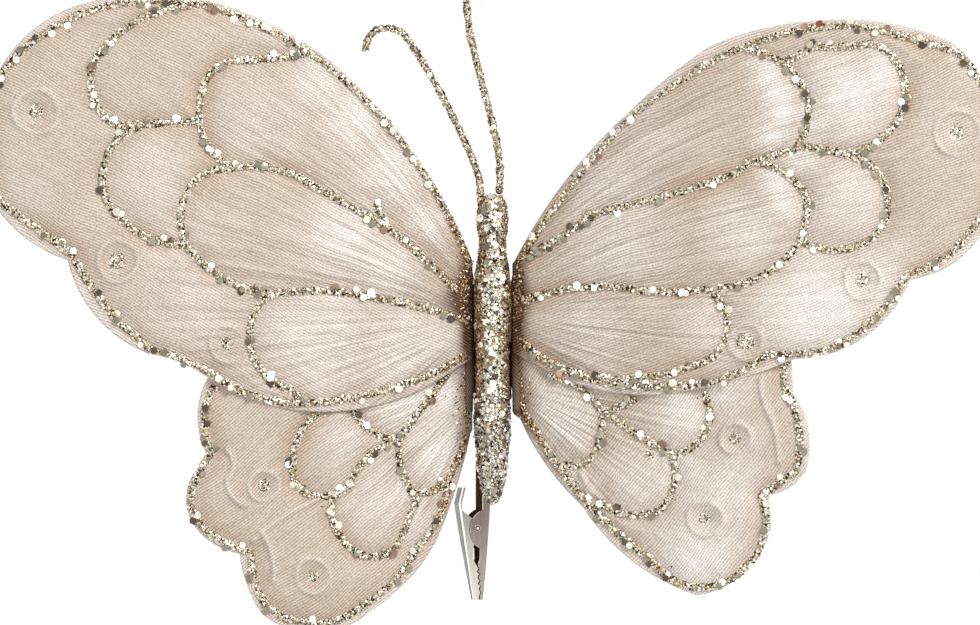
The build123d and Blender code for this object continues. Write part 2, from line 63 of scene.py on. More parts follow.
LINE_STEP = 0.0006  # from point to point of a glitter line
EDGE_STEP = 0.004  # from point to point of an edge, as a share of the wing's reach
ROOT_END = -0.0009  # how far in past the fold a wing may reach
TUCK = 0.0012  # how far a wing's root moves in behind the body
SINK = 0.00012  # how deep glitter glue sits in what it is on
FLAKE_HALF = 0.00006  # half a flake's thickness
FOOT_BALL = 0.00092  # radius of the bead at an antenna's foot
CLEAR_OF_FOOT, SPANGLES_OFF_FOOT = 0.00107, 0.0023  # from the bead's middle to flakes, spangles
CLEAR_OF_ROLL = 0.0018  # from a rolled root's middle to the glue
ROOT_TURN, TIP_TURN = math.radians(18), math.radians(4)  # how a wing leans at its root and tip
ANTENNA_LEAN, ANTENNA_HEIGHT = math.radians(8), 0.050  # forward, and what its table is shares of
STRAYS, DUST = 110, 330  # flakes that strayed near a wing's lines, and near its root
BODY_FLAKES, BODY_SPANGLES, MOUND_FLAKES = 8200, 170, 120  # on the body and on each mound
FLAKES_A_METRE, SPANGLES_A_METRE = 22000, 130  # on an antenna
# Points round a wing's ring, rings over its front and rings over its back
RINGS = {"fore": (620, 140, 18), "hind": (560, 120, 18)}
# Where the pleats fan out from, and the painted brown shade at the root: its lowest and highest
# place and its strength
FAN_ROOT = {"fore": (-0.004, 0.004), "hind": (-0.004, -0.013)}
ROOT_SHADE_SPAN = {"fore": (-0.004, 0.015, 1.3), "hind": (-0.026, -0.006, 0.72)}

# Tables of places are in thousandths, those of the wings in thousandths of the wing's reach,
# out from the fold line and up from the datum. A line goes by turns from a joint to the middle
# of the arc to the next joint, and None in a middle's place makes that stretch straight.
OUTLINES = {
    ("fore", "left"): [
        (-14, 116), (112, 356), (278, 538), (392, 608), (528, 658), (638, 670), (758, 652),
        (874, 592), (946, 492), (978, 380), (934, 236), (876, 180), (798, 140), (744, 30),
        (638, -46), (578, -62), (520, -94), (414, -144), (278, -162), (138, -136), (-2, -52),
        None, (-14, 116),
    ],
    ("hind", "left"): [
        (-4, -196), (20, -294), (64, -416), (108, -484), (194, -560), (314, -604), (414, -566),
        (442, -510), (456, -446), (494, -434), (532, -408), (562, -350), (532, -268), None,
        (522, -248), (540, -170), (520, -96), (278, 0), (-10, -30), None, (-4, -196),
    ],
    ("fore", "right"): [
        (-6, 128), (88, 282), (224, 432), (312, 510), (388, 566), (518, 606), (664, 618),
        (768, 606), (868, 572), (952, 454), (970, 350), (960, 260), (928, 194), (878, 140),
        (784, 102), (716, 4), (556, -56), (448, -96), (288, -128), (148, -114), (-10, -36), None,
        (-6, 128),
    ],
    ("hind", "right"): [
        (-10, -124), (40, -236), (134, -352), (248, -472), (362, -530), (464, -476), (508, -390),
        None, (504, -328), (548, -312), (578, -278), (584, -214), (552, -126), None, (548, -56),
        (278, 10), (-12, -30), None, (-10, -124),
    ],
}
# Glitter borders and veins. The veins that the body's glue cuts short in the solids run on here
# to the root.
BEADS = {
    ("fore", "left"): [
        [(-4, 124), (124, 364), (286, 532), (402, 602), (538, 652), (638, 658), (748, 638),
         (862, 580), (938, 500), (966, 384), (932, 254), (868, 208), (788, 148), (732, 58),
         (632, -40), (578, -56), (502, -94), (414, -136), (298, -144), (138, -112), (4, -50)],
        [(554, 648), (658, 618), (728, 562), (754, 496), (702, 408), None, (538, 416)],
        [(652, 406), (702, 378), (726, 334), (728, 276), (694, 222), (638, 184), (566, 170)],
        [(324, 552), (402, 542), (474, 538), (522, 502), (536, 450), (534, 400), (482, 328)],
        [(22, 78), (88, 142), (154, 200), (238, 248), (338, 304), (414, 326), (480, 322),
         (546, 296), (572, 250), (574, 208), (566, 170), (518, 122), (438, 80), None, (402, 74)],
        [(-2, 16), (98, 46), (198, 66), (298, 78), (398, 70), (436, 4), (358, -118), None,
         (328, -142)],
        [(186, 256), (178, 235), (166, 216)],
    ],
    ("hind", "left"): [
        [(4, -214), (24, -264), (42, -300), (52, -360), (98, -430), (144, -496), (232, -566),
         (328, -586), (402, -554), (428, -500), (434, -446), None, (468, -432), (524, -400),
         (556, -346), (540, -286), (512, -244), (528, -176), (506, -112)],
        [(42, -88), (88, -150), (140, -218)],
        [(234, -156), (208, -192), (140, -218)],
        [(140, -218), (208, -262), (238, -314), None, (266, -332)],
        [(296, -162), (346, -228), (352, -280), (328, -324), (288, -334), (258, -326),
         (234, -314)],
        [(140, -218), (134, -280), (114, -324), (88, -326), (46, -304)],
        [(270, -336), (272, -384), (248, -422), (194, -454), (142, -432), None, (102, -334)],
    ],
    ("fore", "right"): [
        [(4, 136), (94, 268), (218, 416), (338, 504), (408, 546), (528, 590), (668, 608),
         (778, 584), (878, 554), (938, 470), (952, 360), (944, 270), (914, 210), (868, 156),
         (778, 110), (714, 22), (630, -36), (568, -48), (502, -48), (458, -78), (388, -104),
         (268, -114), (168, -102), None, (88, -80)],
        [(458, 560), (548, 518), (584, 450), (578, 400), (554, 358), (524, 352), (478, 336)],
        [(532, 536), (562, 548), (592, 566), (658, 566), (712, 572), (772, 506), (774, 450),
         (738, 390), (658, 352)],
        [(562, 368), (624, 358), (688, 340), (742, 260), (708, 182), (648, 160), (568, 180)],
        [(12, 144), (88, 186), (158, 234), (298, 268), (438, 312), None, (464, 336), (528, 318),
         (580, 264), (576, 210), (564, 174), (498, 112), (404, 84)],
        [(10, 56), (98, 82), (218, 84), (308, 76), (380, 82), (422, 10), (348, -72), (228, -98),
         (108, -82), (48, -54), (8, -18)],
    ],
    ("hind", "right"): [
        [(6, -144), (58, -234), (118, -316), (188, -392), (268, -456), (368, -514), (458, -474),
         (498, -396), (488, -330), None, (558, -284), (566, -220), (538, -116), (534, -84),
         (540, -56)],
        [(66, -90), (128, -116), (172, -166)],
        [(238, -136), (212, -152), (176, -162)],
        [(170, -170), (168, -220), (138, -268), (114, -272), (92, -270)],
        [(182, -166), (248, -212), (312, -248), (372, -216), (374, -126)],
        [(310, -252), (316, -310), (288, -360), (228, -370), (162, -338)],
    ],
}
# Glitter dots: place, radius of the dot and radius of the ring that is moulded round it
SPOTS = {
    ("fore", "left"): [(862, 436, 16, 44), (700, 138, 18, 40), (483, -28, 13, 34)],
    ("hind", "left"): [(409, -311, 13, 30), (311, -492, 12, 34)],
    ("fore", "right"): [(878, 394, 14, 44), (690, 100, 16, 36), (458, -24, 18, 34)],
    ("hind", "right"): [(438, -216, 13, 30), (377, -377, 14, 34)],
}
# Thick places of the veins, which have no ring
BLOBS = {("fore", "right"): [(144, 230, 10.5, 0)], ("hind", "right"): [(266, -250, 10.5, 0)]}
# Ridges that are moulded into the fabric and carry no glitter
RIDGES = {
    ("hind", "left"): [
        [(482, -240), (470, -272), (482, -300), (474, -330), (446, -350)],
        [(416, -402), (396, -440), (390, -500)],
        [(430, -420), (372, -374), (300, -338)],
    ],
    ("hind", "right"): [
        [(488, -100), (494, -140), (512, -180), (522, -230), (524, -262)],
        [(130, -286), (144, -318), (166, -336)],
    ],
}
# Where the satin catches the light: place, radius and strength
SHEEN = {
    ("fore", "left"): [
        (300, 490, 60, 600), (220, 420, 70, 800), (140, 330, 80, 900), (80, 220, 50, 700),
        (250, 190, 80, 800), (170, 130, 70, 800), (300, -20, 130, 600), (130, -40, 100, 600),
        (570, 180, 80, 300), (620, 300, 80, 350), (900, 280, 60, 200), (550, 50, 100, 300),
        (420, 400, 90, 250),
    ],
    ("hind", "left"): [
        (170, -330, 90, 450), (240, -220, 60, 450), (60, -240, 70, 900), (100, -380, 60, 500),
        (120, -140, 70, 900), (60, -120, 60, 800),
    ],
    ("fore", "right"): [
        (500, 510, 35, 900), (525, 470, 35, 900), (532, 430, 35, 900), (515, 390, 35, 900),
        (525, 300, 40, 900), (535, 250, 35, 900), (670, 470, 80, 900), (720, 510, 50, 800),
        (660, 270, 80, 600), (600, 40, 120, 850), (720, 90, 80, 550), (460, 200, 70, 600),
        (200, 160, 100, 500), (380, 20, 70, 400), (860, 400, 60, 200), (160, 0, 70, 400),
        (260, 380, 100, 300), (200, 270, 100, 500), (590, 420, 50, 700), (560, 340, 50, 700),
        (410, -20, 60, 500),
    ],
    ("hind", "right"): [
        (100, -170, 70, 800), (240, -320, 70, 500), (330, -170, 60, 700), (360, -470, 100, 800),
        (330, -290, 80, 600), (420, -320, 80, 550), (400, -120, 60, 700), (120, -310, 60, 600),
        (450, -220, 50, 300),
    ],
}
# The covered wires behind the wings
STIFFENERS = {
    "fore": [(30, 60), (330, 236), (700, 340)],
    "hind": [(30, -130), (180, -220), (400, -390)],
}
# The middle that a wing's rings of points go round
CENTRES = {
    ("fore", "left"): (470, 240),
    ("hind", "left"): (270, -300),
    ("fore", "right"): (490, 210),
    ("hind", "right"): (300, -250),
}
# How much the pleats bend down on their way out, in turns of their angle for each metre
BENDS = {("fore", "left"): 3.0, ("hind", "left"): 0, ("fore", "right"): 13.0, ("hind", "right"): 0}
# Slopes of the weave's ribs in degrees, rising away from the body, and on the rolled roots
RIBS = {("fore", "left"): 27, ("hind", "left"): -39, ("fore", "right"): 21, ("hind", "right"): 52}
ROLL_RIBS = {"left": 52, "right": -36}
# Half the body's outline, from the tail to the head: shares of its radius and height
BODY_OUTLINE = [
    (0, 0), (420, 24), (680, 75), (800, 115), (870, 172), (1000, 255), (940, 345), (905, 480),
    (955, 590), (1000, 660), (900, 765), (745, 830), (800, 875), (870, 915), (780, 965),
    (500, 993), (0, 1000),
]
# How far an antenna's wire leans left and stands over its foot, of 50 mm
ANTENNAE = {
    "left": [
        (0, 0), (10, 100), (100, 315), (235, 575), (345, 755), (410, 835), (505, 840), (565, 795),
        (580, 720),
    ],
    "right": [
        (0, 0), (-6, 140), (30, 330), (108, 620), (150, 800), (168, 960), (160, 1055),
        (115, 1090), (78, 1045), (100, 965),
    ],
}
# The mound under an antenna's foot: radius and height over the foot, in hundredths of a mm
MOUND = [
    (4, -270), (70, -265), (84, -200), (89, -120), (88, -85), (83, -70), (78, -76), (50, -97),
    (20, -108), (2, -110),
]
# Tones of the glitter: champagne, silver, near white, olive gold, dark, copper and pale champagne
SMALL_TONES = [
    (0.80, 0.75, 0.66), (0.70, 0.68, 0.63), (0.98, 0.96, 0.92), (0.58, 0.52, 0.41),
    (0.19, 0.15, 0.12), (0.60, 0.47, 0.38), (0.88, 0.84, 0.76),
]
# Palettes as tones and their shares: the wings' small flakes, the body's silver front, its sides
# in gold, copper, browns and near white, and the spangles in cream, grey olive, near black,
# copper and red
PALETTES = {
    "small": (SMALL_TONES, [0.22, 0.18, 0.20, 0.13, 0.15, 0.03, 0.09]),
    "silver": (SMALL_TONES, [0.12, 0.22, 0.40, 0.04, 0.14, 0.01, 0.07]),
    "gold": (
        [(0.66, 0.54, 0.41), (0.58, 0.44, 0.33), (0.28, 0.20, 0.14), (0.80, 0.71, 0.59),
         (0.97, 0.93, 0.86), (0.45, 0.35, 0.25)],
        [0.27, 0.21, 0.18, 0.14, 0.06, 0.14],
    ),
    "large": (
        [(0.97, 0.95, 0.88), (0.56, 0.54, 0.47), (0.34, 0.30, 0.26), (0.58, 0.48, 0.40),
         (0.40, 0.22, 0.18)],
        [0.38, 0.34, 0.20, 0.07, 0.01],
    ),
}
# Tones of the glue between the flakes, each from where it starts in a range of 0 to 1
GLUE_TONES = [
    (0.0, 0.20, 0.15, 0.10), (0.16, 0.46, 0.38, 0.27), (0.45, 0.68, 0.60, 0.46),
    (0.75, 0.82, 0.76, 0.64), (1.0, 0.98, 0.96, 0.90),
]


def tone(red, green, blue):
    """A colour as a shader takes it, from the values of a screen: each to the power 2.2."""
    return red ** 2.2, green ** 2.2, blue ** 2.2


def length(label, about, default):
    """A size that can be changed, in metres."""
    return bpy.props.FloatProperty(
        name=label, description=about, default=default, unit="LENGTH", precision=5
    )


def colour(label, about, default):
    """A colour that can be changed."""
    return bpy.props.FloatVectorProperty(
        name=label, description=about, default=default, size=3, min=0, max=1, subtype="COLOR"
    )


def wing_sizes():
    """The wings' sizes as they are set in the scene."""
    return bpy.context.scene.butterfly_wings


class WingSizes(bpy.types.PropertyGroup):
    """Sizes of the moulded wings."""
    reach: length("Reach", "What the wing tables are shares of", 0.125)
    datum: length("Datum height", "Height that the wing tables start from", 0.0625)
    thickness: length("Thickness", "Thickness of the moulded fabric", 0.0009)
    spacing: length("Spacing", "Gap between forewing and hindwing", 0.0009)
    lift: length("Lift", "How far the forewing's back stands over the bend", 0.00025)
    puff: length("Puff", "How far the fabric swells between the veins", 0.0012)
    pleat: length("Pleat", "Depth of the pleats that fan out from the root", 0.00019)
    ring: length("Ring", "Height of the rings and ridges", 0.0008)
    roll: length("Rolled root", "Radius of the rolled root", 0.00145)
    wire: length("Wire", "Radius of the covered wires", 0.00040)


class GlitterSizes(bpy.types.PropertyGroup):
    """Sizes of the glitter."""
    bead: length("Bead width", "Width of the glitter lines", 0.0015)
    rise: length("Bead height", "Height of the glitter lines", 0.0007)
    dot: length("Dot height", "Height of the glitter dots", 0.0009)
    flake: length("Flake", "Radius of the small flakes", 0.00029)
    spangle: length("Spangle", "Radius of the large six-sided spangles", 0.00105)
    spangle_gap: length("Spangle gap", "Mean distance from spangle to spangle", 0.0062)
    antenna: length("Antenna", "Radius of the glittered antennae", 0.00074)


class Finishes(bpy.types.PropertyGroup):
    """Colours of the ornament."""
    satin: colour("Satin", "The fabric", tone(0.80, 0.745, 0.69))
    shine: colour("Shine", "The fabric where it catches the light", tone(0.98, 0.97, 0.955))
    shade: colour("Shade", "The fabric beside the veins", tone(0.74, 0.645, 0.56))
    # The root colour is a painted brown shade, where the fabric runs into shadow at the wing roots
    root: colour("Root", "The brown breath of paint at the roots", tone(0.27, 0.17, 0.11))
    nickel: colour("Nickel", "The clip", tone(0.62, 0.595, 0.565))


def run_length(line):
    """A line's length."""
    return np.linalg.norm(np.diff(line, axis=0), axis=1).sum()


def unit(vectors):
    """Vectors brought to a length of 1."""
    return vectors / np.linalg.norm(vectors, axis=-1, keepdims=True)


def bell(distance, width, power=2):
    """exp(-(distance / width) to a power): 1 in the middle, and it dies out past the width."""
    return np.exp(-(distance / width) ** power)


def step_up(low, high, value):
    """0 below low, 1 above high, and 3t² - 2t³ between."""
    share = np.clip((value - low) / (high - low), 0.0, 1.0)
    return share * share * (3 - 2 * share)


def waves(value, counts, seed):
    """Sines of several wavelengths with phases drawn from a seed, added up to about -1 to 1."""
    phases = np.random.default_rng(seed).uniform(0, 2 * np.pi, len(counts))
    return sum(np.sin(value * count + phase) for count, phase in zip(counts, phases)) / len(counts)


def full_turn(count):
    """Angles at equal steps round a full turn."""
    return np.linspace(0, 2 * np.pi, count, endpoint=False)


def spun(first, second, angle):
    """Directions that turn from the first towards the second: first cos a + second sin a."""
    return first * np.cos(angle)[..., None] + second * np.sin(angle)[..., None]


def around(radius, angle, height):
    """Places round an upright axis, from a radius, an angle and a height."""
    x, y = radius * np.cos(angle), radius * np.sin(angle)
    return np.stack(np.broadcast_arrays(x, y, height), -1)


def evenly(line, count):
    """Points at equal steps along a line: its length run up from point to point is divided
    evenly, and each point lies between its two neighbours in proportion."""
    steps = np.linalg.norm(np.diff(line, axis=0), axis=1)
    run = np.concatenate([[0.0], np.cumsum(steps)])
    wanted = np.linspace(0.0, run[-1], count)
    return np.stack([np.interp(wanted, run, values) for values in line.T], -1)


def at_rows(table, pick):
    """A table's values at numbers such as 3.4, in proportion between the rows on both sides."""
    low = pick.astype(int)
    share = (pick - low)[:, None]
    return table[low] * (1 - share) + table[low + 1] * share


def pulled(start, pull, end):
    """Points on the curve (1 - t)² start + 2t(1 - t) pull + t² end."""
    share = np.linspace(0, 1, 20, endpoint=False)[:, None]
    return (1 - share) ** 2 * start + 2 * share * (1 - share) * pull + share ** 2 * end


def arc(start, middle, end, count):
    """Points on the arc through three points: the centre is as far from all three, and the
    angle runs evenly from the first to the last by way of the middle."""
    share = np.linspace(0.0, 1.0, count, endpoint=False)
    if middle is None:
        return start + (end - start) * share[:, None]
    sides = 2 * np.array([middle - start, end - start])
    centre = np.linalg.solve(sides, [middle @ middle - start @ start, end @ end - start @ start])
    spokes = np.array([start, middle, end]) - centre
    angles = np.arctan2(spokes[:, 1], spokes[:, 0])
    to_middle, to_end = (angles[1:] - angles[0]) % (2 * np.pi)
    turn = to_end if to_middle < to_end else to_end - 2 * np.pi
    angle = angles[0] + turn * share
    return centre + np.linalg.norm(spokes[0]) * np.stack([np.cos(angle), np.sin(angle)], -1)


def arc_line(chain, step):
    """Points in metres out and up along a table's chain of arcs and straights. The step from
    point to point is a share of the wing's reach."""
    chain = [point and np.array(point) / 1000 for point in chain]
    parts = [arc(*stretch, 24) for stretch in zip(chain[:-2:2], chain[1:-1:2], chain[2::2])]
    line = np.concatenate(parts + [chain[-1][None]])
    count = max(4, int(run_length(line) / step))
    return evenly(line, count) * wing_sizes().reach


def wing_lines(wing):
    """The glitter lines of a wing in metres out and up, as a list of even lines."""
    step = LINE_STEP / wing_sizes().reach
    return [arc_line(chain, step) for chain in BEADS[wing]]


def wing_middle(wing):
    """The middle of a wing in metres out and up."""
    return np.array(CENTRES[wing]) / 1000 * wing_sizes().reach


def nearest(places, line):
    """Least distance from each place to the points of a line: |a|² + |b|² - 2ab, at its least."""
    found = np.empty(len(places))
    line_squares = (line ** 2).sum(1)
    for start in range(0, len(places), 4000):
        block = places[start:start + 4000]
        squares = (block ** 2).sum(1)[:, None] + line_squares - 2 * block @ line.T
        found[start:start + 4000] = np.sqrt(np.maximum(squares.min(1), 0.0))
    return found


def round_root(wing, places):
    """The angle round a wing's root and the distance from it. The angle grows by a share of
    itself with the distance, so the lines along which it stays the same bend down."""
    spoke = places - np.array(FAN_ROOT[wing[0]])
    away = np.linalg.norm(spoke, axis=1)
    return np.arctan2(spoke[:, 1], spoke[:, 0]) * (1 + BENDS[wing] * away), away


def relief(wing, places):
    """How far the front stands over its plain sheet, and its shading, at places out and up. The
    shading is painted: a brown shade at the root, highlights where the satin shines, on the
    rings' crests and along the hem, and shade beside the veins and inside the rings; its last
    channel is where the pleats lie.
    The fabric swells as 1 - exp(-(d / w)²) with the distance d from the nearest line, lies flat in
    the margin, and adds pleats, which are waves of the angle round the root that die out with
    the distance from it, and rings and ridges, which are exp(-(d / w)²) of the distance."""
    sizes = wing_sizes()
    kind, side = wing
    seed = 10 * (kind == "fore") + 3 * (side == "left")
    out, up = places.T
    to_line = nearest(places, np.concatenate(wing_lines(wing)))
    to_edge = nearest(places, arc_line(OUTLINES[wing], EDGE_STEP))
    angle, from_root = round_root(wing, places)

    inside = step_up(0.0004, 0.0036, to_edge)
    bend = waves(out * 1000, (0.21, 0.13, 0.34), seed)
    bend += waves(up * 1000, (0.17, 0.29, 0.11), seed + 1)
    swell = 0.75 * (1 - bell(to_line, 0.0030)) + 0.55 * (1 - bell(to_line, 0.0085))
    swell *= sizes.puff * inside * (1 + 0.16 * bend)
    fan = waves(angle, (73, 101, 137), seed + 2) + 0.7 * waves(angle, (33, 47), seed + 4)
    fan *= 1 + 0.5 * waves(from_root * 1000, (0.15, 0.23), seed + 5)
    fade = 0.60 if kind == "fore" else 0.34
    if wing == ("fore", "right"):
        fade = 0.48 + 0.26 * step_up(0.35, 0.8, angle)
    pleated = bell(from_root, fade * sizes.reach, 4) * step_up(0.005, 0.022, from_root)
    height = swell + sizes.pleat * fan * pleated * (1 - bell(to_line, 0.0018)) * inside
    # Painted highlight on the crests of the rings and ridges, painted shade just inside the rings
    crest_highlight, ring_shade = np.zeros((2, len(places)))
    for *middle, dot, ring in np.array(SPOTS[wing]) / 1000:
        off = places - sizes.reach * np.array(middle)
        away = np.linalg.norm(off, axis=1)
        turn = np.arctan2(off[:, 1], off[:, 0])
        uneven = 0.75 + 0.35 * waves(turn, (1, 2, 3), int(900 * middle[0]))
        widened = 1 + 0.05 * waves(turn, (2, 3), int(700 * middle[0]))
        beyond = away - ring * sizes.reach * widened
        height += sizes.ring * uneven * bell(beyond, 0.00068)
        height -= 0.9 * swell * bell(away, 1.3 * dot * sizes.reach)
        crest_highlight = np.maximum(crest_highlight, uneven * bell(beyond, 0.0006))
        ring_shade = np.maximum(ring_shade, uneven * bell(beyond + 0.0013, 0.0007))
    for ridge in RIDGES.get(wing, []):
        away = nearest(places, arc_line(ridge, 0.003))
        height += sizes.ring * bell(away, 0.0008)
        crest_highlight = np.maximum(crest_highlight, bell(away, 0.0006))

    # Painted brown shade at the root, where the fabric runs into shadow by the body
    wide = 0.0048
    low, high, depth = ROOT_SHADE_SPAN[kind]
    if kind == "fore":
        wide = 0.0034 + (0.0040 if side == "left" else 0.0016) * bell(up - 0.008, 0.0045)
    streak = 1 + 0.12 * waves((up - 0.8 * out) * 1000, (2.3, 3.9, 6.1), seed + 7)
    brown = depth * streak * bell(np.maximum(out + TUCK, 0.0), wide, 3)
    brown *= bell(up - np.clip(up, low, high), 0.0045)
    if wing == ("hind", "left"):
        brown *= 1 - 0.5 * step_up(-0.014, -0.022, up)
    sheen = np.zeros(len(places))
    for *middle, radius, strength in np.array(SHEEN[wing]) / 1000:
        away = np.linalg.norm(places / sizes.reach - np.array(middle), axis=1)
        sheen = np.maximum(sheen, strength * bell(away, radius))
    sheen *= 0.9 + 0.2 * waves(angle, (52, 83, 120), seed + 9)
    # Painted highlight along the hem, away from the root
    hem_highlight = bell(to_edge, 0.0024) * step_up(0.004, 0.020, out)
    sheen = np.maximum(sheen, np.maximum(0.30 * crest_highlight, 0.40 * hem_highlight))
    # Painted shade beside the veins and just inside the rings
    vein_shade = bell(to_line, 0.0034) * (0.7 + 0.5 * bend) + 0.35 * ring_shade
    return height, np.clip(np.stack([brown, sheen, vein_shade, pleated], -1), 0.0, 1.0)


def bend_circle(flat):
    """The upright cylinder that a wing is bent on: its radius, its axis's depth, and how far out
    from the axis places lie."""
    bend = wing_sizes().reach / (math.sin(ROOT_TURN) - math.sin(TIP_TURN))
    return bend, bend * math.cos(ROOT_TURN), flat[..., 0] - bend * math.sin(ROOT_TURN)


def wing_place(side, flat, radius):
    """Places on a wing from distances out and up: each lies on an upright cylinder of the given
    radius, so its depth is the axis's depth less √(radius² - distance from the axis²)."""
    bend, axis, beyond = bend_circle(flat)
    depth = axis - np.sqrt((bend + radius) ** 2 - beyond ** 2)
    x = FOLD[side][0] + OUTWARD[side] * flat[..., 0]
    up = wing_sizes().datum + flat[..., 1]
    return np.stack([x, FOLD[side][1] + depth, up], -1)


def wing_normal(side, flat):
    """The direction straight out of a wing's front: from the bend's axis to the place."""
    bend, _, beyond = bend_circle(flat)
    share = beyond / bend
    return np.stack([OUTWARD[side] * share, -np.sqrt(1 - share ** 2), 0 * share], -1)


def layers(kind):
    """Distances of a wing's back and front from the bend."""
    sizes = wing_sizes()
    back = sizes.lift if kind == "fore" else sizes.lift - sizes.spacing - sizes.thickness
    return back, back + sizes.thickness


def along_ribs(flat, degrees, drawn):
    """Distances along and across the weave's ribs, in tenths of a metre. Slow waves bend the
    ribs a little, as the moulding draws them."""
    turn = math.radians(degrees)
    along = flat[:, 0] * math.cos(turn) + flat[:, 1] * math.sin(turn)
    across = flat[:, 1] * math.cos(turn) - flat[:, 0] * math.sin(turn)
    bent = waves(along * 1000, (0.23, 0.41), 21) + waves(flat[:, 0] * 1000, (0.31, 0.19), 22)
    return np.stack([along, across + drawn * bent], -1) * 10


def surface(rings, values=None):
    """A smooth part of a piece, closed, from rings of points: rings next to each other are joined
    by pairs of triangles, and a point in the middle of the first and of the last ring closes each
    end. The faces point outwards when the volume, a sum of triple products, is positive."""
    count, turns = rings.shape[:2]
    points = for_rings(rings)
    here = np.arange(turns)
    after = np.roll(here, -1)
    row, last = (np.arange(count - 1) * turns)[:, None], (count - 1) * turns
    faces = np.concatenate([
        np.stack(np.broadcast_arrays(*corners), -1).reshape(-1, 3) for corners in (
            (row + here, row + after, row + turns + after),
            (row + here, row + turns + after, row + turns + here),
            (after, here, count * turns),
            (last + here, last + after, count * turns + 1),
        )
    ])
    corners = points[faces]
    if (corners[:, 0] * np.cross(corners[:, 1], corners[:, 2])).sum() < 0:
        faces = faces[:, ::-1]
    return points, faces, np.ones((len(points), 4)) if values is None else values, 0, True


def for_rings(values):
    """Values at the points of a closed surface: one for each ring's point and one for each end."""
    flat = values.reshape(-1, values.shape[-1])
    return np.concatenate([flat, values[:1].mean(1), values[-1:].mean(1)])


def flakes(places, normals, radii, tones, tilt, rng, half=FLAKE_HALF):
    """A part of six-sided flakes. Corner k of a flake is its place plus its radius times the
    cosine and sine of 60k degrees along two directions across its normal, which is first tilted
    at random, and a point over and under the middle closes it."""
    count = len(places)
    normals = unit(normals + tilt * rng.normal(size=(count, 3)))
    across = unit(np.cross(normals, rng.normal(size=(count, 3))))
    spokes = spun(across[:, None], np.cross(normals, across)[:, None], full_turn(6))
    corners = places[:, None] + radii[:, None, None] * spokes
    caps = places[:, None] + half * np.array([[1.0], [-1.0]]) * normals[:, None]
    points = np.concatenate([corners, caps], 1).reshape(-1, 3)
    here = np.arange(6)
    after = np.roll(here, -1)
    one = np.concatenate([
        np.stack([here, after, np.full(6, 6)], -1), np.stack([after, here, np.full(6, 7)], -1),
    ])
    faces = (np.arange(count)[:, None, None] * 8 + one).reshape(-1, 3)
    return points, faces, np.repeat(tones, 8, axis=0), 1, False


def draw_tones(palette, count, rng):
    """Tones drawn from a palette, each a little lighter or darker."""
    tones, shares = (np.array(part) for part in PALETTES[palette])
    picked = tones[rng.choice(len(tones), count, p=shares / shares.sum())]
    picked = np.clip(picked * rng.uniform(0.88, 1.08, (count, 1)), 0.0, 1.0) ** 2.2
    return np.concatenate([picked, np.ones((count, 1))], -1)


def across_line(line):
    """Unit directions across a flat line: along it, turned by a right angle."""
    along = unit(np.gradient(line, axis=0))
    return np.stack([-along[:, 1], along[:, 0]], -1)


def rounded_ends(count, start, over):
    """Shares of a tube's thickness that round its ends: √((rows to the end + start) / over)."""
    run = np.arange(count)
    return np.minimum(1.0, np.sqrt((np.minimum(run, run[::-1]) + start) / over))


def bead(side, line, front, half, rise, seed):
    """A bead of glitter glue on a wing: a half ellipse carried along the line, wider and higher by
    a few waves, with a flat underside just inside the fabric."""
    run = np.arange(len(line)) * 1.0
    turn = np.linspace(0.0, np.pi, 8)
    taper = rounded_ends(len(line), 0.4, 1.6)
    wide = half * (1 + 0.20 * waves(run, (0.9, 0.37, 0.21), seed)) * taper
    tall = rise * (1 + 0.22 * waves(run, (0.7, 0.43, 0.17), seed + 1)) * taper
    aside = np.cos(turn) * wide[:, None]
    flat = line[:, None] + across_line(line)[:, None] * aside[..., None]
    return wing_place(side, flat, front + np.sin(turn) * tall[:, None] - SINK)


def line_flakes(wing, line, front, half, rise, rng):
    """Small flakes all over a bead and large spangles here and there on it. A flake's place is a
    random distance along and across the line, its height that of the bead's half ellipse, and it
    leans outwards by as much as the ellipse does there."""
    sizes = bpy.context.scene.butterfly_glitter
    side = wing[1]
    total = run_length(line)
    made = []
    small_count = int(total * 2 * half.mean() * 1.25 / (2.0 * sizes.flake ** 2))
    for count, large in ((small_count, False), (max(1, int(total / sizes.spangle_gap)), True)):
        pick = rng.uniform(0, len(line) - 1.001, count)
        low = pick.astype(int)
        across = across_line(line)[low]
        turn = rng.uniform(-1, 1, count) * (0.9 if large else 1.0) * np.pi / 2
        aside = half[low] * 1.08 * np.sin(turn) * (1.5 if large else 1.0)
        flat = at_rows(line, pick) + across * aside[:, None]
        height = rise[low] * np.cos(turn) + 0.00004
        if large:
            height = 0.00028 + np.maximum(height, relief(wing, flat)[0])
            radii = sizes.spangle * rng.uniform(0.75, 1.05, count)
            radii *= np.where(flat[:, 0] > 0.0030, 1.0, 0.3)
            tones = draw_tones("large", count, rng)
        else:
            radii = sizes.flake * rng.uniform(0.65, 1.35, count)
            tones = draw_tones("small", count, rng)
            golden = rng.uniform(size=count) < bell(np.maximum(flat[:, 0], 0), 0.007)
            tones[golden] = draw_tones("gold", golden.sum(), rng)
        places = wing_place(side, flat, front + np.maximum(height, SINK))
        lean = across * np.sin(turn)[:, None] * (0.25 if large else 0.55)
        sideways = np.stack([OUTWARD[side] * lean[:, 0], 0 * lean[:, 0], lean[:, 1]], -1)
        made.append(flakes(
            places, wing_normal(side, flat) + sideways, radii, tones, 0.10 if large else 0.30, rng,
            0.00005 if large else FLAKE_HALF,
        ))
    return made


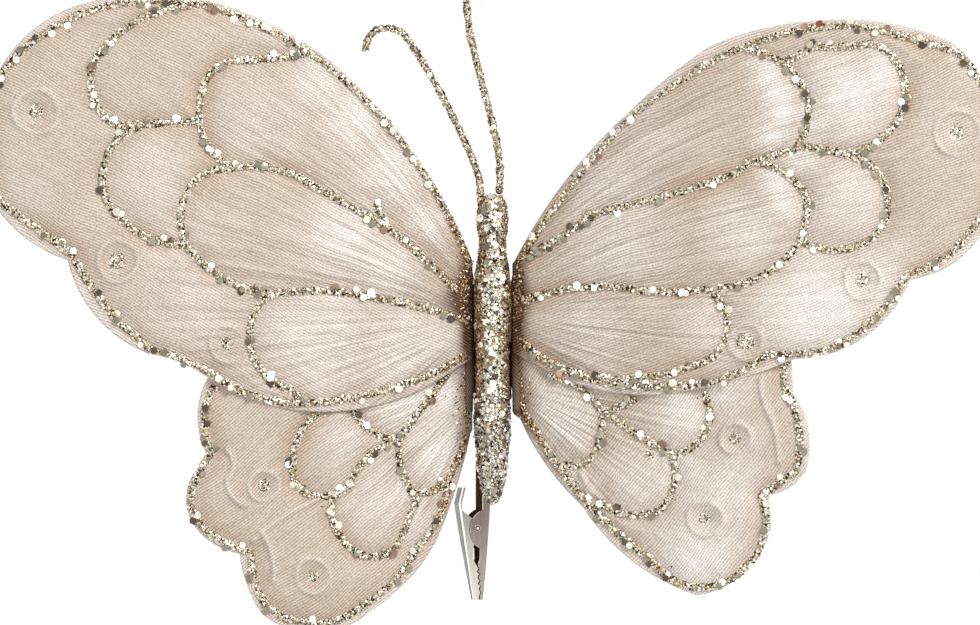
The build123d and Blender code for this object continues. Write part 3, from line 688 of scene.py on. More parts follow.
def add_piece(name, parts, finishes, attribute=None, maps=None):
    """A mesh object at the origin from parts, each points, triangles, values, finish and whether
    it is smooth."""
    points = np.concatenate([part[0] for part in parts])
    starts = np.cumsum([0] + [len(part[0]) for part in parts[:-1]])
    faces = np.concatenate([part[1] + start for part, start in zip(parts, starts)])
    mesh = bpy.data.meshes.new(name)
    mesh.vertices.add(len(points))
    mesh.vertices.foreach_set("co", points.astype(np.float32).ravel())
    mesh.loops.add(faces.size)
    mesh.loops.foreach_set("vertex_index", faces.astype(np.int32).ravel())
    mesh.polygons.add(len(faces))
    mesh.polygons.foreach_set("loop_start", np.arange(0, faces.size, 3, dtype=np.int32))
    for label, place, kind in (("material_index", 3, np.int32), ("use_smooth", 4, bool)):
        values = np.concatenate([np.full(len(part[1]), part[place], kind) for part in parts])
        mesh.polygons.foreach_set(label, values)
    if attribute:
        values = np.concatenate([part[2] for part in parts]).astype(np.float32).ravel()
        mesh.attributes.new(attribute, "FLOAT_COLOR", "POINT").data.foreach_set("color", values)
    for label, values in (maps or {}).items():
        layer = mesh.uv_layers.new(name=label)
        layer.data.foreach_set("uv", values[faces.ravel()].astype(np.float32).ravel())
    mesh.update(calc_edges=True)
    mesh.validate()
    made = bpy.data.objects.new(name, mesh)
    bpy.context.scene.collection.objects.link(made)
    for finish in finishes:
        mesh.materials.append(finish)
    return made


class Look:
    """The shader nodes of a material or a world, added by short calls that give back an output.
    A value is a number, a colour or another node's output."""

    def __init__(self, owner, end="BSDF_PRINCIPLED"):
        owner.use_nodes = True
        self.made, self.tree = owner, owner.node_tree
        self.end = next(item for item in self.tree.nodes if item.type == end)

    def fill(self, made, inputs):
        """Set or join a node's inputs."""
        for name, value in inputs.items():
            socket = made.inputs[name]
            if isinstance(value, bpy.types.NodeSocket):
                self.tree.links.new(value, socket)
            elif socket.type == "RGBA":
                socket.default_value = (*value[:3], 1.0)
            else:
                socket.default_value = value

    def add(self, kind, inputs=None, **settings):
        """A new node's outputs."""
        made = self.tree.nodes.new("ShaderNode" + kind)
        for name, value in settings.items():
            setattr(made, name, value)
        self.fill(made, inputs or {})
        return made.outputs

    def close(self, inputs):
        """The material, once the inputs of its shader are set or joined."""
        self.fill(self.end, inputs)
        return self.made

    def place(self):
        """The place that is shaded, in the object's own metres."""
        return self.add("TexCoord")["Object"]

    def maths(self, operation, first, second=0.0):
        """The result of an operation on two numbers."""
        return self.add("Math", {0: first, 1: second}, operation=operation)[0]

    def plus(self, first, second):
        return self.maths("ADD", first, second)

    def minus(self, first, second):
        return self.maths("SUBTRACT", first, second)

    def times(self, product, *factors):
        for factor in factors:
            product = self.maths("MULTIPLY", product, factor)
        return product

    def below(self, first, second):
        return self.maths("LESS_THAN", first, second)

    def above(self, first, second):
        return self.maths("GREATER_THAN", first, second)

    def size(self, value):
        return self.maths("ABSOLUTE", value)

    def span(self, value, low, high, start=0.0, end=1.0):
        """A value carried from one range to another."""
        return self.add("MapRange", {0: value, 1: low, 2: high, 3: start, 4: end})[0]

    def vector(self, operation, first, second, result=0):
        """The result of an operation on two vectors."""
        return self.add("VectorMath", {0: first, 1: second}, operation=operation)[result]

    def scaled(self, cover, factor):
        return self.add("VectorMath", {0: cover, "Scale": factor}, operation="SCALE")[0]

    def mix(self, share, first, second, blend="MIX"):
        """Two colours mixed by a share."""
        inputs = {0: share, 6: first, 7: second}
        return self.add("Mix", inputs, data_type="RGBA", blend_type=blend)[2]

    def noise(self, place, scale, detail, roughness=0.5):
        """Clouds of one scale, or of three scales along the axes."""
        if isinstance(scale, tuple):
            place, scale = self.add("Mapping", {"Vector": place, "Scale": scale})[0], 1.0
        inputs = {"Vector": place, "Scale": scale, "Detail": detail, "Roughness": roughness}
        return self.add("TexNoise", inputs)["Fac"]

    def bands(self, place, scale, distortion, finer, direction="X"):
        """Waves of light and dark bands across one axis."""
        inputs = {
            "Vector": place, "Scale": scale, "Distortion": distortion, "Detail": 1.0,
            "Detail Scale": finer,
        }
        return self.add("TexWave", inputs, bands_direction=direction)["Fac"]

    def bump(self, strength, distance, height):
        return self.add("Bump", {"Strength": strength, "Distance": distance, "Height": height})[0]


def new_look(name, roughness, metallic=0.0):
    """A new material's nodes, with its roughness and metal set."""
    look = Look(bpy.data.materials.new(name))
    look.close({"Roughness": roughness, "Metallic": metallic})
    return look


def satin_finish(name):
    """Satin with slanting twill ribs, a fine grain and pleats that fan out from the root. By the
    piece's shading it takes a painted highlight where the satin shines, a painted shade beside
    the veins and a painted brown shade at the root."""
    colours = bpy.context.scene.butterfly_finishes
    look = new_look(name, 0.5)
    weave, fan = (look.add("UVMap", uv_map=label)[0] for label in ("weave", "fan"))
    shading = look.add("Attribute", attribute_name="shading")
    parts = look.add("SeparateColor", {"Color": shading["Color"]})
    pleated = shading["Alpha"]
    ribs = look.bands(weave, 47.5, 0.35, 2.0, "Y")
    weft = look.bands(weave, 41.0, 0.6, 2.0)
    dashes = look.noise(weave, (150.0, 300.0, 1.0), 0.0)
    grain = look.noise(weave, 420.0, 0.0)
    slubs = look.noise(weave, (16.0, 60.0, 1.0), 2.0)
    clouds = look.noise(weave, 9.0, 3.0, 0.6)
    streaks = look.noise(fan, (55.0, 2.2, 1.0), 3.0, 0.55)
    level = look.noise(fan, (21.0, 0.9, 1.0), 1.0)
    crease = look.span(look.size(look.minus(level, 0.5)), 0.0, 0.030, 1.0, 0.0)
    sunk = look.times(crease, pleated)
    dull = look.span(streaks, 0.32, 0.58, 0.45, 0.0)
    lit = look.minus(1.0, look.times(dull, pleated))
    # Painted shade beside the veins, then a painted highlight where the satin shines
    cover = look.mix(look.times(parts["Blue"], 0.85), colours.satin, colours.shade)
    cover = look.mix(look.times(parts["Green"], lit), cover, colours.shine)
    # Threads, grain, slubs and clouds: partly the satin's own tone, partly painted weave shade
    light = 0.5
    for threads, share in (
        (ribs, 0.62), (weft, 0.16), (dashes, 0.95), (grain, 1.25), (slubs, 0.55), (clouds, 0.30)
    ):
        light = look.plus(light, look.times(look.minus(threads, 0.5), share))
    # Painted light and shade of the pleats' folds along their streaks, painted shade in the
    # creases
    light = look.plus(light, look.times(look.minus(streaks, 0.52), pleated, 1.2))
    light = look.minus(light, look.times(sunk, 0.55))
    dark = look.mix(1.0, cover, (0.66, 0.60, 0.54), "MULTIPLY")
    cover = look.mix(light, dark, look.vector("MULTIPLY", cover, (1.30, 1.33, 1.36)))
    # Painted brown shade at the root, lighter where the ribs are raised
    raised = look.span(ribs, 0.6, 1.0, 0.0, 0.42)
    cover = look.mix(parts["Red"], cover, look.mix(raised, colours.root, tone(0.68, 0.56, 0.44)))
    height = look.times(ribs, 0.5)
    folds = look.times(streaks, pleated)
    for threads, share in ((grain, 0.5), (slubs, 1.1), (folds, 3.0), (sunk, -0.5)):
        height = look.plus(height, look.times(threads, share))
    return look.close({
        "Base Color": cover, "Normal": look.bump(0.6, 0.00018, height), "Sheen Weight": 0.08,
        "Sheen Roughness": 0.4, "Specular IOR Level": 0.22,
    })


def flake_finish(name):
    """Metallic flakes, each in its own tone."""
    look = new_look(name, 0.26, 0.75)
    tones = look.add("Attribute", attribute_name="tone")["Color"]
    light = look.span(look.noise(look.place(), 900.0, 1.0), 0.0, 1.0, 0.85, 1.15)
    return look.close({"Base Color": look.scaled(tones, light)})


def glue_bead_finish(name):
    """Glitter glue between the flakes: small cells, each in a tone of its own, with sunk edges."""
    look = new_look(name, 0.38, 0.45)
    cells = look.add("TexVoronoi", {"Vector": look.place(), "Scale": 2100.0})
    shade = look.add("SeparateColor", {"Color": cells["Color"]})["Red"]
    cover = look.add("ValToRGB", {"Fac": shade})["Color"]
    ramp = cover.node.color_ramp
    ramp.interpolation = "CONSTANT"
    for number, (at, *screen) in enumerate(GLUE_TONES):
        stop = ramp.elements[number] if number < 2 else ramp.elements.new(at)
        stop.position, stop.color = at, (*tone(*screen), 1.0)
    return look.close({"Base Color": cover, "Normal": look.bump(0.8, 0.0002, cells["Distance"])})


def wire_finish(name):
    """Thread wound round a wire, as fine bands across it."""
    look = new_look(name, 0.7)
    bands = look.bands(look.place(), 900.0, 2.0, 1.0)
    cover = look.mix(bands, tone(0.80, 0.75, 0.68), tone(0.90, 0.86, 0.80))
    return look.close({"Base Color": cover, "Normal": look.bump(0.4, 0.0001, bands)})


def finish_once(name, make):
    """The named material, made the first time that it is asked for."""
    return bpy.data.materials.get(name) or make(name)


def glitter_finishes():
    """The glue between the flakes, and the flakes."""
    return [
        finish_once("glitter glue", glue_bead_finish), finish_once("glitter flakes", flake_finish)
    ]


def give_finish(name, finish):
    """Put a finish on a node of the CAD."""
    materials = frame["nodes"][name].data.materials
    materials.clear()
    materials.append(finish)


class ORNAMENT_OT_wings(bpy.types.Operator):
    """Make the four moulded satin wings"""
    bl_idname = "ornament.wings"
    bl_label = "Wings"

    def execute(self, context):
        for kind in ("fore", "hind"):
            for side in SIDES:
                self.make_wing(context, (kind, side))
        return {"FINISHED"}

    def make_wing(self, context, wing):
        """A closed sheet of rings round the wing's middle. A ring's point is the middle plus a
        share of the way to the outline, and the share grows over the front and shrinks again
        over the back. A hindwing's root reaches down to the end of the rolled root."""
        sizes = context.scene.butterfly_wings
        kind, side = wing
        turns, rim, back_count = RINGS[kind]
        outline = evenly(arc_line(OUTLINES[wing], 0.002), turns + 1)[:-1]
        corner = OUTLINES[wing][0][1] / 1000 * sizes.reach
        beyond = corner + TUCK
        if kind == "hind":
            roll_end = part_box(f"wing_root_roll_{side}")[0].z - sizes.datum
            corner = min(corner, roll_end - 0.0005)
            beyond = corner - TUCK
        tucked = TUCK * step_up(beyond, corner, outline[:, 1]) * bell(outline[:, 0], 0.0025)
        outline[:, 0] = np.maximum(outline[:, 0] - tucked, ROOT_END)
        middle = wing_middle(wing)
        shares = np.concatenate([
            np.linspace(0, 1, rim + 1)[1:], [1.0], np.linspace(1, 0, back_count + 1)[:-1]
        ])
        flat = middle + (outline - middle) * shares[:, None, None]
        ahead = np.roll(outline, -1, 0)
        along = ahead - np.roll(outline, 1, 0)
        outwards = unit(np.stack([along[:, 1], -along[:, 0]], -1))
        if ((outline - middle) * outwards).sum() < 0:
            outwards = -outwards
        flat[rim] += 0.0002 * outwards
        flat[rim, :, 0] = np.maximum(flat[rim, :, 0], ROOT_END)
        height, shading = relief(wing, flat.reshape(-1, 2))
        height = height.reshape(flat.shape[:2])
        height[rim + 1:] *= 0.85
        back, front = layers(kind)
        base = np.repeat([front, (front + back) / 2, back], [rim, 1, back_count])
        rings = wing_place(side, flat, base[:, None] + height)
        values = for_rings(shading.reshape(*height.shape, 4))
        flat = for_rings(flat)
        maps = {
            "weave": along_ribs(flat, RIBS[wing], 0.0004),
            "fan": np.stack(round_root(wing, flat), -1) * [1, 10],
        }
        satin = finish_once("champagne satin", satin_finish)
        piece = add_piece(
            f"{kind}wing_satin_{side}", [surface(rings, values)], [satin], "shading", maps
        )
        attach(piece, f"{side}_wings")
        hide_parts(f"{kind}wing_{side}")
        width, height = np.ptp(outline, axis=0)


class ORNAMENT_OT_wing_glitter(bpy.types.Operator):
    """Make the glitter borders, veins and dots of the wings"""
    bl_idname = "ornament.wing_glitter"
    bl_label = "Wing glitter"

    def execute(self, context):
        glitter = context.scene.butterfly_glitter
        for number, wing in enumerate(BEADS):
            kind, side = wing
            rng = np.random.default_rng(40 + number)
            front = layers(kind)[1]
            parts = []
            for place, line in enumerate(wing_lines(wing)):
                along = np.linspace(0, 1, len(line))
                thin = 0.30 * bell(along - 0.13, 0.10) * (kind == "fore" and place == 0)
                half = glitter.bead / 2 * (1 - thin)
                rise = glitter.rise * (0.35 + 0.65 * step_up(0.0, 0.004, line[:, 0]))
                parts.append(surface(bead(side, line, front, half, rise, 10 * number + place)))
                parts += line_flakes(wing, line, front, half, rise, rng)
            parts.append(self.stray_flakes(wing, front, rng))
            piece = add_piece(f"{kind}wing_glitter_{side}", parts, glitter_finishes(), "tone")
            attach(piece, f"{side}_wings")
            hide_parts(f"{kind}wing_glitter_lines_{side}")
            self.make_spots(context, wing, front, rng)
        return {"FINISHED"}

    def stray_flakes(self, wing, front, rng):
        """Flakes that strayed onto the satin, most of them near a line or the root."""
        kind, side = wing
        lines = np.concatenate(wing_lines(wing))
        flat = lines[rng.integers(0, len(lines), STRAYS)]
        flat = flat + 0.0013 * rng.normal(size=(STRAYS, 2))
        root = np.array([0.0004, 0.010 if kind == "fore" else -0.017])
        dust = root + rng.normal(size=(DUST, 2)) * [0.0014, 0.0048]
        flat = np.concatenate([flat, dust])
        flat = flat[(flat[:, 0] > -0.0008) & (nearest(flat, lines) > 0.0007)]
        edge = arc_line(OUTLINES[wing], EDGE_STEP)
        closest = edge[np.linalg.norm(edge - flat[:, None], axis=2).argmin(1)]
        middle = wing_middle(wing)
        reach, limit = (np.linalg.norm(spots - middle, axis=1) for spots in (flat, closest))
        flat = flat[reach < limit]
        places = wing_place(side, flat, front + relief(wing, flat)[0] + 0.00004)
        tones = draw_tones("small", len(flat), rng)
        golden = flat[:, 0] < 0.004
        tones[golden] = draw_tones("gold", golden.sum(), rng)
        radii = 0.00019 * rng.uniform(0.6, 1.5, len(flat))
        return flakes(places, wing_normal(side, flat), radii, tones, 0.2, rng, 0.00004)

    def make_spots(self, context, wing, front, rng):
        """Domes of glitter glue with flakes on them. A dome's height is its rise times
        √(1 - (distance / radius)²)."""
        glitter = context.scene.butterfly_glitter
        kind, side = wing
        parts = []
        angle = full_turn(28)
        spread = np.array([0.2, 0.45, 0.7, 0.88, 1.0, 0.9, 0.4])
        lift = np.array([0.98, 0.9, 0.72, 0.48, 0.0, -0.1, -0.1]) * glitter.dot
        for out, up, share, _ in np.array(SPOTS[wing] + BLOBS.get(wing, [])) / 1000:
            middle = np.array([out, up]) * context.scene.butterfly_wings.reach
            radius = share * context.scene.butterfly_wings.reach
            uneven = 1 + 0.13 * waves(angle, (2, 3, 5), int(1000 * out))
            flat = middle + around(radius * uneven * spread[:, None], angle, 0)[..., :2]
            parts.append(surface(wing_place(side, flat, (front + lift)[:, None])))
            for count, large in ((int(4.2 * (radius / glitter.flake) ** 2), False), (1, True)):
                away = radius * 1.05 * np.sqrt(rng.uniform(0, 0.9, count))
                turn = rng.uniform(0, 2 * np.pi, count)
                flat = middle + around(away, turn, 0)[:, :2]
                height = glitter.dot * np.sqrt(np.maximum(1 - (away / (radius * 1.06)) ** 2, 0.02))
                places = wing_place(side, flat, front + height + (0.0002 if large else 0.0))
                size = 0.6 * glitter.spangle if large else glitter.flake
                radii = size * rng.uniform(0.7, 1.2, count)
                tones = draw_tones("large" if large else "small", count, rng)
                lean = 0.15 if large else 0.35
                parts.append(flakes(places, wing_normal(side, flat), radii, tones, lean, rng))
        piece = add_piece(f"{kind}wing_dots_{side}", parts, glitter_finishes(), "tone")
        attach(piece, f"{side}_wings")
        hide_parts(f"{kind}wing_glitter_spots_{side}")


class ORNAMENT_OT_wing_backs(bpy.types.Operator):
    """Make the wires glued behind the wings and the rolled roots"""
    bl_idname = "ornament.wing_backs"
    bl_label = "Wires and rolled roots"

    def execute(self, context):
        sizes = context.scene.butterfly_wings
        for kind in ("fore", "hind"):
            for side in SIDES:
                self.make_wire(sizes, kind, side)
        for side in SIDES:
            self.make_roll(sizes, side)
        return {"FINISHED"}

    def make_roll(self, sizes, side):
        """The wing's edge rolled up: a strip whose distance from the middle grows evenly over two
        turns. A ring is the strip's section, up its outer side and down its inner side."""
        low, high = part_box(f"wing_root_roll_{side}")
        turn = np.linspace(0, 4 * np.pi, 120)[:, None]
        rise = np.concatenate([np.linspace(0, 1, 60), np.linspace(1, 0, 60)])
        inner = np.repeat([0.0, 1.0], 60)
        layer = 0.36 + 0.64 * turn / (4 * np.pi)
        ends = 1 - 0.35 * step_up(0.90, 1.0, rise) - 0.25 * step_up(0.30, 0.0, rise)
        creases = 1 - 0.03 * (1 + waves(rise * 60 + turn, (1.0, 1.7, 2.9), 6))
        radius = sizes.roll * (layer * creases - 0.20 * inner) * ends
        x = FOLD[side][0] + 0.98 * radius * np.cos(turn)
        y = FOLD[side][1] + 0.0003 + 0.74 * radius * np.sin(turn)
        z = low.z + (high.z - low.z) * (0.002 + 0.996 * rise) + 0 * turn
        run = turn * sizes.roll + 0 * z
        run, up = for_rings(np.stack([run, z], -1)).T
        # The rolled root carries the painted brown shade of the wing root, strongest about 6 mm up
        brown = 0.86 + 0.4 * bell(up - sizes.datum - 0.006, 0.0145, 4)
        values = np.stack([np.clip(brown, 0, 1), 0 * up, 0 * up, 0 * up], -1)
        weave = along_ribs(np.stack([run, up], -1), ROLL_RIBS[side], 0.0)
        piece = add_piece(
            f"root_roll_{side}", [surface(np.stack([x, y, z], -1), values)],
            [finish_once("champagne satin", satin_finish)], "shading",
            {"weave": weave, "fan": weave},
        )
        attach(piece, f"{side}_wings")
        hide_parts(f"wing_root_roll_{side}")

    def make_wire(self, sizes, kind, side):
        """A covered wire behind a wing: a circle carried along its line."""
        line = arc_line(STIFFENERS[kind], 0.004)
        count = len(line)
        radius = sizes.wire * (1 + 0.03 * np.sin(np.arange(count) * 2.1))
        round_it = around((radius * rounded_ends(count, 0.3, 1.5))[:, None], full_turn(12), 0)
        flat = line[:, None] + across_line(line)[:, None] * round_it[..., :1]
        rings = wing_place(side, flat, layers(kind)[0] - 0.00030 + round_it[..., 1])
        finish = finish_once("thread covered wire", wire_finish)
        piece = add_piece(f"{kind}wing_wire_cover_{side}", [surface(rings)], [finish])
        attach(piece, f"{side}_wings")
        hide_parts(f"{kind}wing_wire_{side}")


class ORNAMENT_OT_body(bpy.types.Operator):
    """Make the glittered body"""
    bl_idname = "ornament.body"
    bl_label = "Body"

    def execute(self, context):
        glitter = context.scene.butterfly_glitter
        low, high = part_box("body_glitter_coat")
        axis = np.array([(low.x + high.x) / 2, (low.y + high.y) / 2, low.z])
        span, widest = high.z - low.z, (high.x - low.x) / 2
        outline = self.smooth_outline(140) * [widest, span]
        slope = np.gradient(outline, axis=0)
        angle, up = full_turn(72), outline[:, 1:]
        lumps = waves(angle * 3 + up * 900, (1, 2, 3), 2) * waves(up * 1000, (0.7, 1.1, 0.4), 3)
        radius = np.maximum(outline[:, :1] * (1 + 0.035 * lumps) - SINK, 0.00005)
        parts = [surface(axis + around(radius, angle, up))]
        rng = np.random.default_rng(7)
        for count, large in ((BODY_FLAKES, False), (BODY_SPANGLES, True)):
            pick = self.by_area(outline, count, rng)
            turn = rng.uniform(0, 2 * np.pi, count)
            spot = at_rows(outline, pick)
            share = spot[:, 1] / span
            beside = 0.915 * np.abs(np.cos(turn)) + 0.404 * np.sin(turn) > 0.8
            away = spot[:, 0] * (1 + 0.02 * rng.normal(size=count)) + (0.0002 if large else 0.0)
            away -= np.where(beside, 0.0003 if large else 0.00015, 0.0)
            places = axis + around(away, turn, spot[:, 1])
            out, rise = slope[pick.astype(int)].T
            normals = unit(around(rise, turn, -out))
            gaps = [np.linalg.norm(places - foot, axis=1) for foot in FEET.values()]
            from_foot = np.min(gaps, axis=0)
            if large:
                radii = glitter.spangle * rng.uniform(0.7, 1.05, count)
                tones = draw_tones("large", count, rng)
                keep, half, leans = from_foot > SPANGLES_OFF_FOOT, FLAKE_HALF, (0.04, 0.16)
            else:
                radii = rng.choice([0.85, 1.1, 1.5, 2.0], count, p=[0.35, 0.35, 0.2, 0.1])
                silver, gold = (draw_tones(name, count, rng) for name in ("silver", "gold"))
                aside = np.abs(np.cos(turn) - 0.06) + 0.12 * rng.normal(size=count)
                stripe = 0.56 + 0.5 * step_up(0.36, 0.22, share)
                golden = (aside > stripe) | (np.sin(turn) > 0.3)
                radii *= glitter.flake * np.where(golden, 0.8, 1.12)
                tones = np.where(golden[:, None], gold, silver)
                tones[:, :3] *= (1 - 0.32 * step_up(0.44, 0.24, share))[:, None]
                keep, half, leans = from_foot - radii > CLEAR_OF_FOOT, 0.00008, (0.22, 0.42)
            parts.append(flakes(
                places[keep], normals[keep], radii[keep], tones[keep],
                np.where(beside, *leans)[keep, None], rng, half,
            ))
        for foot in FEET.values():
            parts += self.mound(foot, glitter, rng)
        piece = add_piece("body_glitter", parts, glitter_finishes(), "tone")
        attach(piece, "body")
        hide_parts("body_glitter_coat", "body_core")
        return {"FINISHED"}

    def mound(self, foot, glitter, rng):
        """Glitter glue heaped up on the head, with a cup for the bead at an antenna's foot. Its
        profile, as radius and height over the bead's middle, is turned about the upright."""
        radius, height = np.array(MOUND).T[..., None] / 100000
        angle = full_turn(24)
        wall = radius * (1 + 0.04 * waves(angle, (2, 3, 5), 4))
        turn = rng.uniform(0, 2 * np.pi, MOUND_FLAKES)
        spokes = around(1.0, turn, 0.0)
        places = foot + 0.00090 * spokes
        places[:, 2] += rng.uniform(-0.0021, -CLEAR_OF_FOOT, MOUND_FLAKES)
        radii = glitter.flake * rng.uniform(0.6, 1.1, MOUND_FLAKES)
        tones = draw_tones("silver", MOUND_FLAKES, rng)
        return [
            surface(foot + around(wall, angle, height)),
            flakes(places, spokes, radii, tones, 0.30, rng),
        ]

    def smooth_outline(self, count):
        """The body's half outline: curves between every second point of the table, each with the
        pull that makes it pass through the point between."""
        table = np.array(BODY_OUTLINE) / 1000
        parts = [
            pulled(start, 2 * middle - (start + end) / 2, end)
            for start, middle, end in zip(table[:-2:2], table[1:-1:2], table[2::2])
        ]
        line = np.concatenate(parts + [table[-1:]]) * [0.06, 1.0]
        return evenly(line, count) / [0.06, 1.0]

    def by_area(self, outline, count, rng):
        """Rows picked at random, more of them where the body is wide."""
        weight = outline[:-1, 0] + outline[1:, 0]
        run = np.concatenate([[0.0], np.cumsum(weight)])
        picked = np.interp(rng.uniform(0, run[-1], count), run, np.arange(len(run)))
        return np.clip(picked, 0, len(outline) - 1.001)


class ORNAMENT_OT_antennae(bpy.types.Operator):
    """Make the two glittered antennae"""
    bl_idname = "ornament.antennae"
    bl_label = "Antennae"

    def execute(self, context):
        glitter = context.scene.butterfly_glitter
        for number, side in enumerate(SIDES):
            rng = np.random.default_rng(90 + number)
            line = self.path(side)
            under = np.linspace(0.00001 - FOOT_BALL, 0.0, 8)[:-1]
            from_foot = np.concatenate([under, np.linalg.norm(line - line[0], axis=1)])
            line = np.concatenate([line[0] + under[:, None] * unit(line[1] - line[0]), line])
            along = unit(np.gradient(line, axis=0))
            aside = unit(np.cross(along, [0.0, 1.0, 0.0]))
            front = np.cross(along, aside)
            run = np.arange(len(line)) * 1.0
            thick = glitter.antenna * (1 + 0.16 * waves(run, (0.31, 0.53, 0.87), number))
            thick[-2:] *= (0.9, 0.6)
            ball = np.sqrt(np.maximum(FOOT_BALL ** 2 - from_foot ** 2, 0.0))
            thick = np.where(from_foot < 0, ball, np.maximum(thick, ball))
            spokes = spun(aside[:, None], front[:, None], full_turn(14))
            parts = [surface(line[:, None] + thick[:, None, None] * spokes)]
            total = run_length(line)
            counts = (int(total * FLAKES_A_METRE), False), (int(total * SPANGLES_A_METRE), True)
            for count, large in counts:
                pick = rng.uniform(14 if large else 7, len(line) - 1.001, count)
                low = pick.astype(int)
                spoke = spun(aside[low], front[low], rng.uniform(0, 2 * np.pi, count))
                places = at_rows(line, pick) + spoke * (thick[low] + 0.0001)[:, None]
                size = 0.7 * glitter.spangle if large else glitter.flake
                radii = size * rng.uniform(0.7, 1.25, count)
                tones = draw_tones("large" if large else "small", count, rng)
                parts.append(flakes(places, spoke, radii, tones, 0.35, rng))
            piece = add_piece(f"antenna_{side}", parts, glitter_finishes(), "tone")
            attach(piece, f"{side}_antenna")
            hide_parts(f"antenna_glitter_{side}", f"antenna_wire_{side}")
        return {"FINISHED"}

    def path(self, side):
        """The wire's line, which leans forward: with the table's points as pulls, each stretch
        runs from the middle of one run to the middle of the next."""
        left, up = np.array(ANTENNAE[side]).T / 1000 * ANTENNA_HEIGHT
        forward, upright = -up * math.sin(ANTENNA_LEAN), up * math.cos(ANTENNA_LEAN)
        pulls = FEET[side] + np.stack([-left, forward, upright], -1)
        middles = (pulls[:-1] + pulls[1:]) / 2
        parts = [pulled(*stretch) for stretch in zip(middles[:-1], pulls[1:-1], middles[1:])]
        return evenly(np.concatenate([pulls[:1], *parts, pulls[-1:]]), 110)


class ORNAMENT_OT_glue(bpy.types.Operator):
    """Make the set glue behind the body and on the clip"""
    bl_idname = "ornament.glue"
    bl_label = "Glue"

    def execute(self, context):
        look = new_look("set hot glue", 0.32)
        place = look.place()
        cloud = look.noise(place, 260.0, 4.0)
        cover = look.mix(cloud, tone(0.78, 0.73, 0.64), tone(0.90, 0.87, 0.80))
        # The glue's front, seen beside the rolled roots, takes the root's painted brown shade
        behind = look.span(look.add("SeparateXYZ", {0: place})["Y"], -0.0028, -0.0021)
        cover = look.mix(behind, context.scene.butterfly_finishes.root, cover)
        height = look.plus(cloud, look.times(look.noise(place, 1500.0, 2.0), 0.2))
        made = look.close({"Base Color": cover, "Normal": look.bump(0.5, 0.0005, height)})
        give_finish("clip_glue_bed", made)
        self.make_pad(made)
        return {"FINISHED"}

    def make_pad(self, finish):
        """A lump of glue from rings that are nearly rectangles, |x|⁴ + |y|⁴ = 1, with waves on
        them, pushed clear of both rolled roots."""
        low, high = (np.array(corner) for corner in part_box("glue_pad"))
        middle, half = (low + high) / 2, (high - low) / 2
        angle = full_turn(96)
        rise = np.linspace(-1, 1, 110)[:, None]
        spread = (np.cos(angle) ** 4 + np.sin(angle) ** 4) ** -0.25
        ends = np.sqrt(np.maximum(1 - rise ** 6, 0.0)) * 0.96 + 0.02
        lumps = 1 - 0.05 * (1 + waves(rise * 22 + 2 * np.cos(angle), (0.7, 1.3, 1.9), 5))
        lumps = lumps - 0.04 * (1 + waves(angle + rise * 4, (3, 5, 8), 8))
        rings = middle + half * around(spread * ends * lumps, angle, rise * 0.94)
        for fold in FOLD.values():
            off = rings[..., :2] - fold[:2]
            push = np.maximum(1.0, CLEAR_OF_ROLL / np.linalg.norm(off, axis=-1, keepdims=True))
            rings[..., :2] = fold[:2] + off * push
        piece = add_piece("glue_lump", [surface(rings)], [finish])
        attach(piece, "body")
        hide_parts("glue_pad")


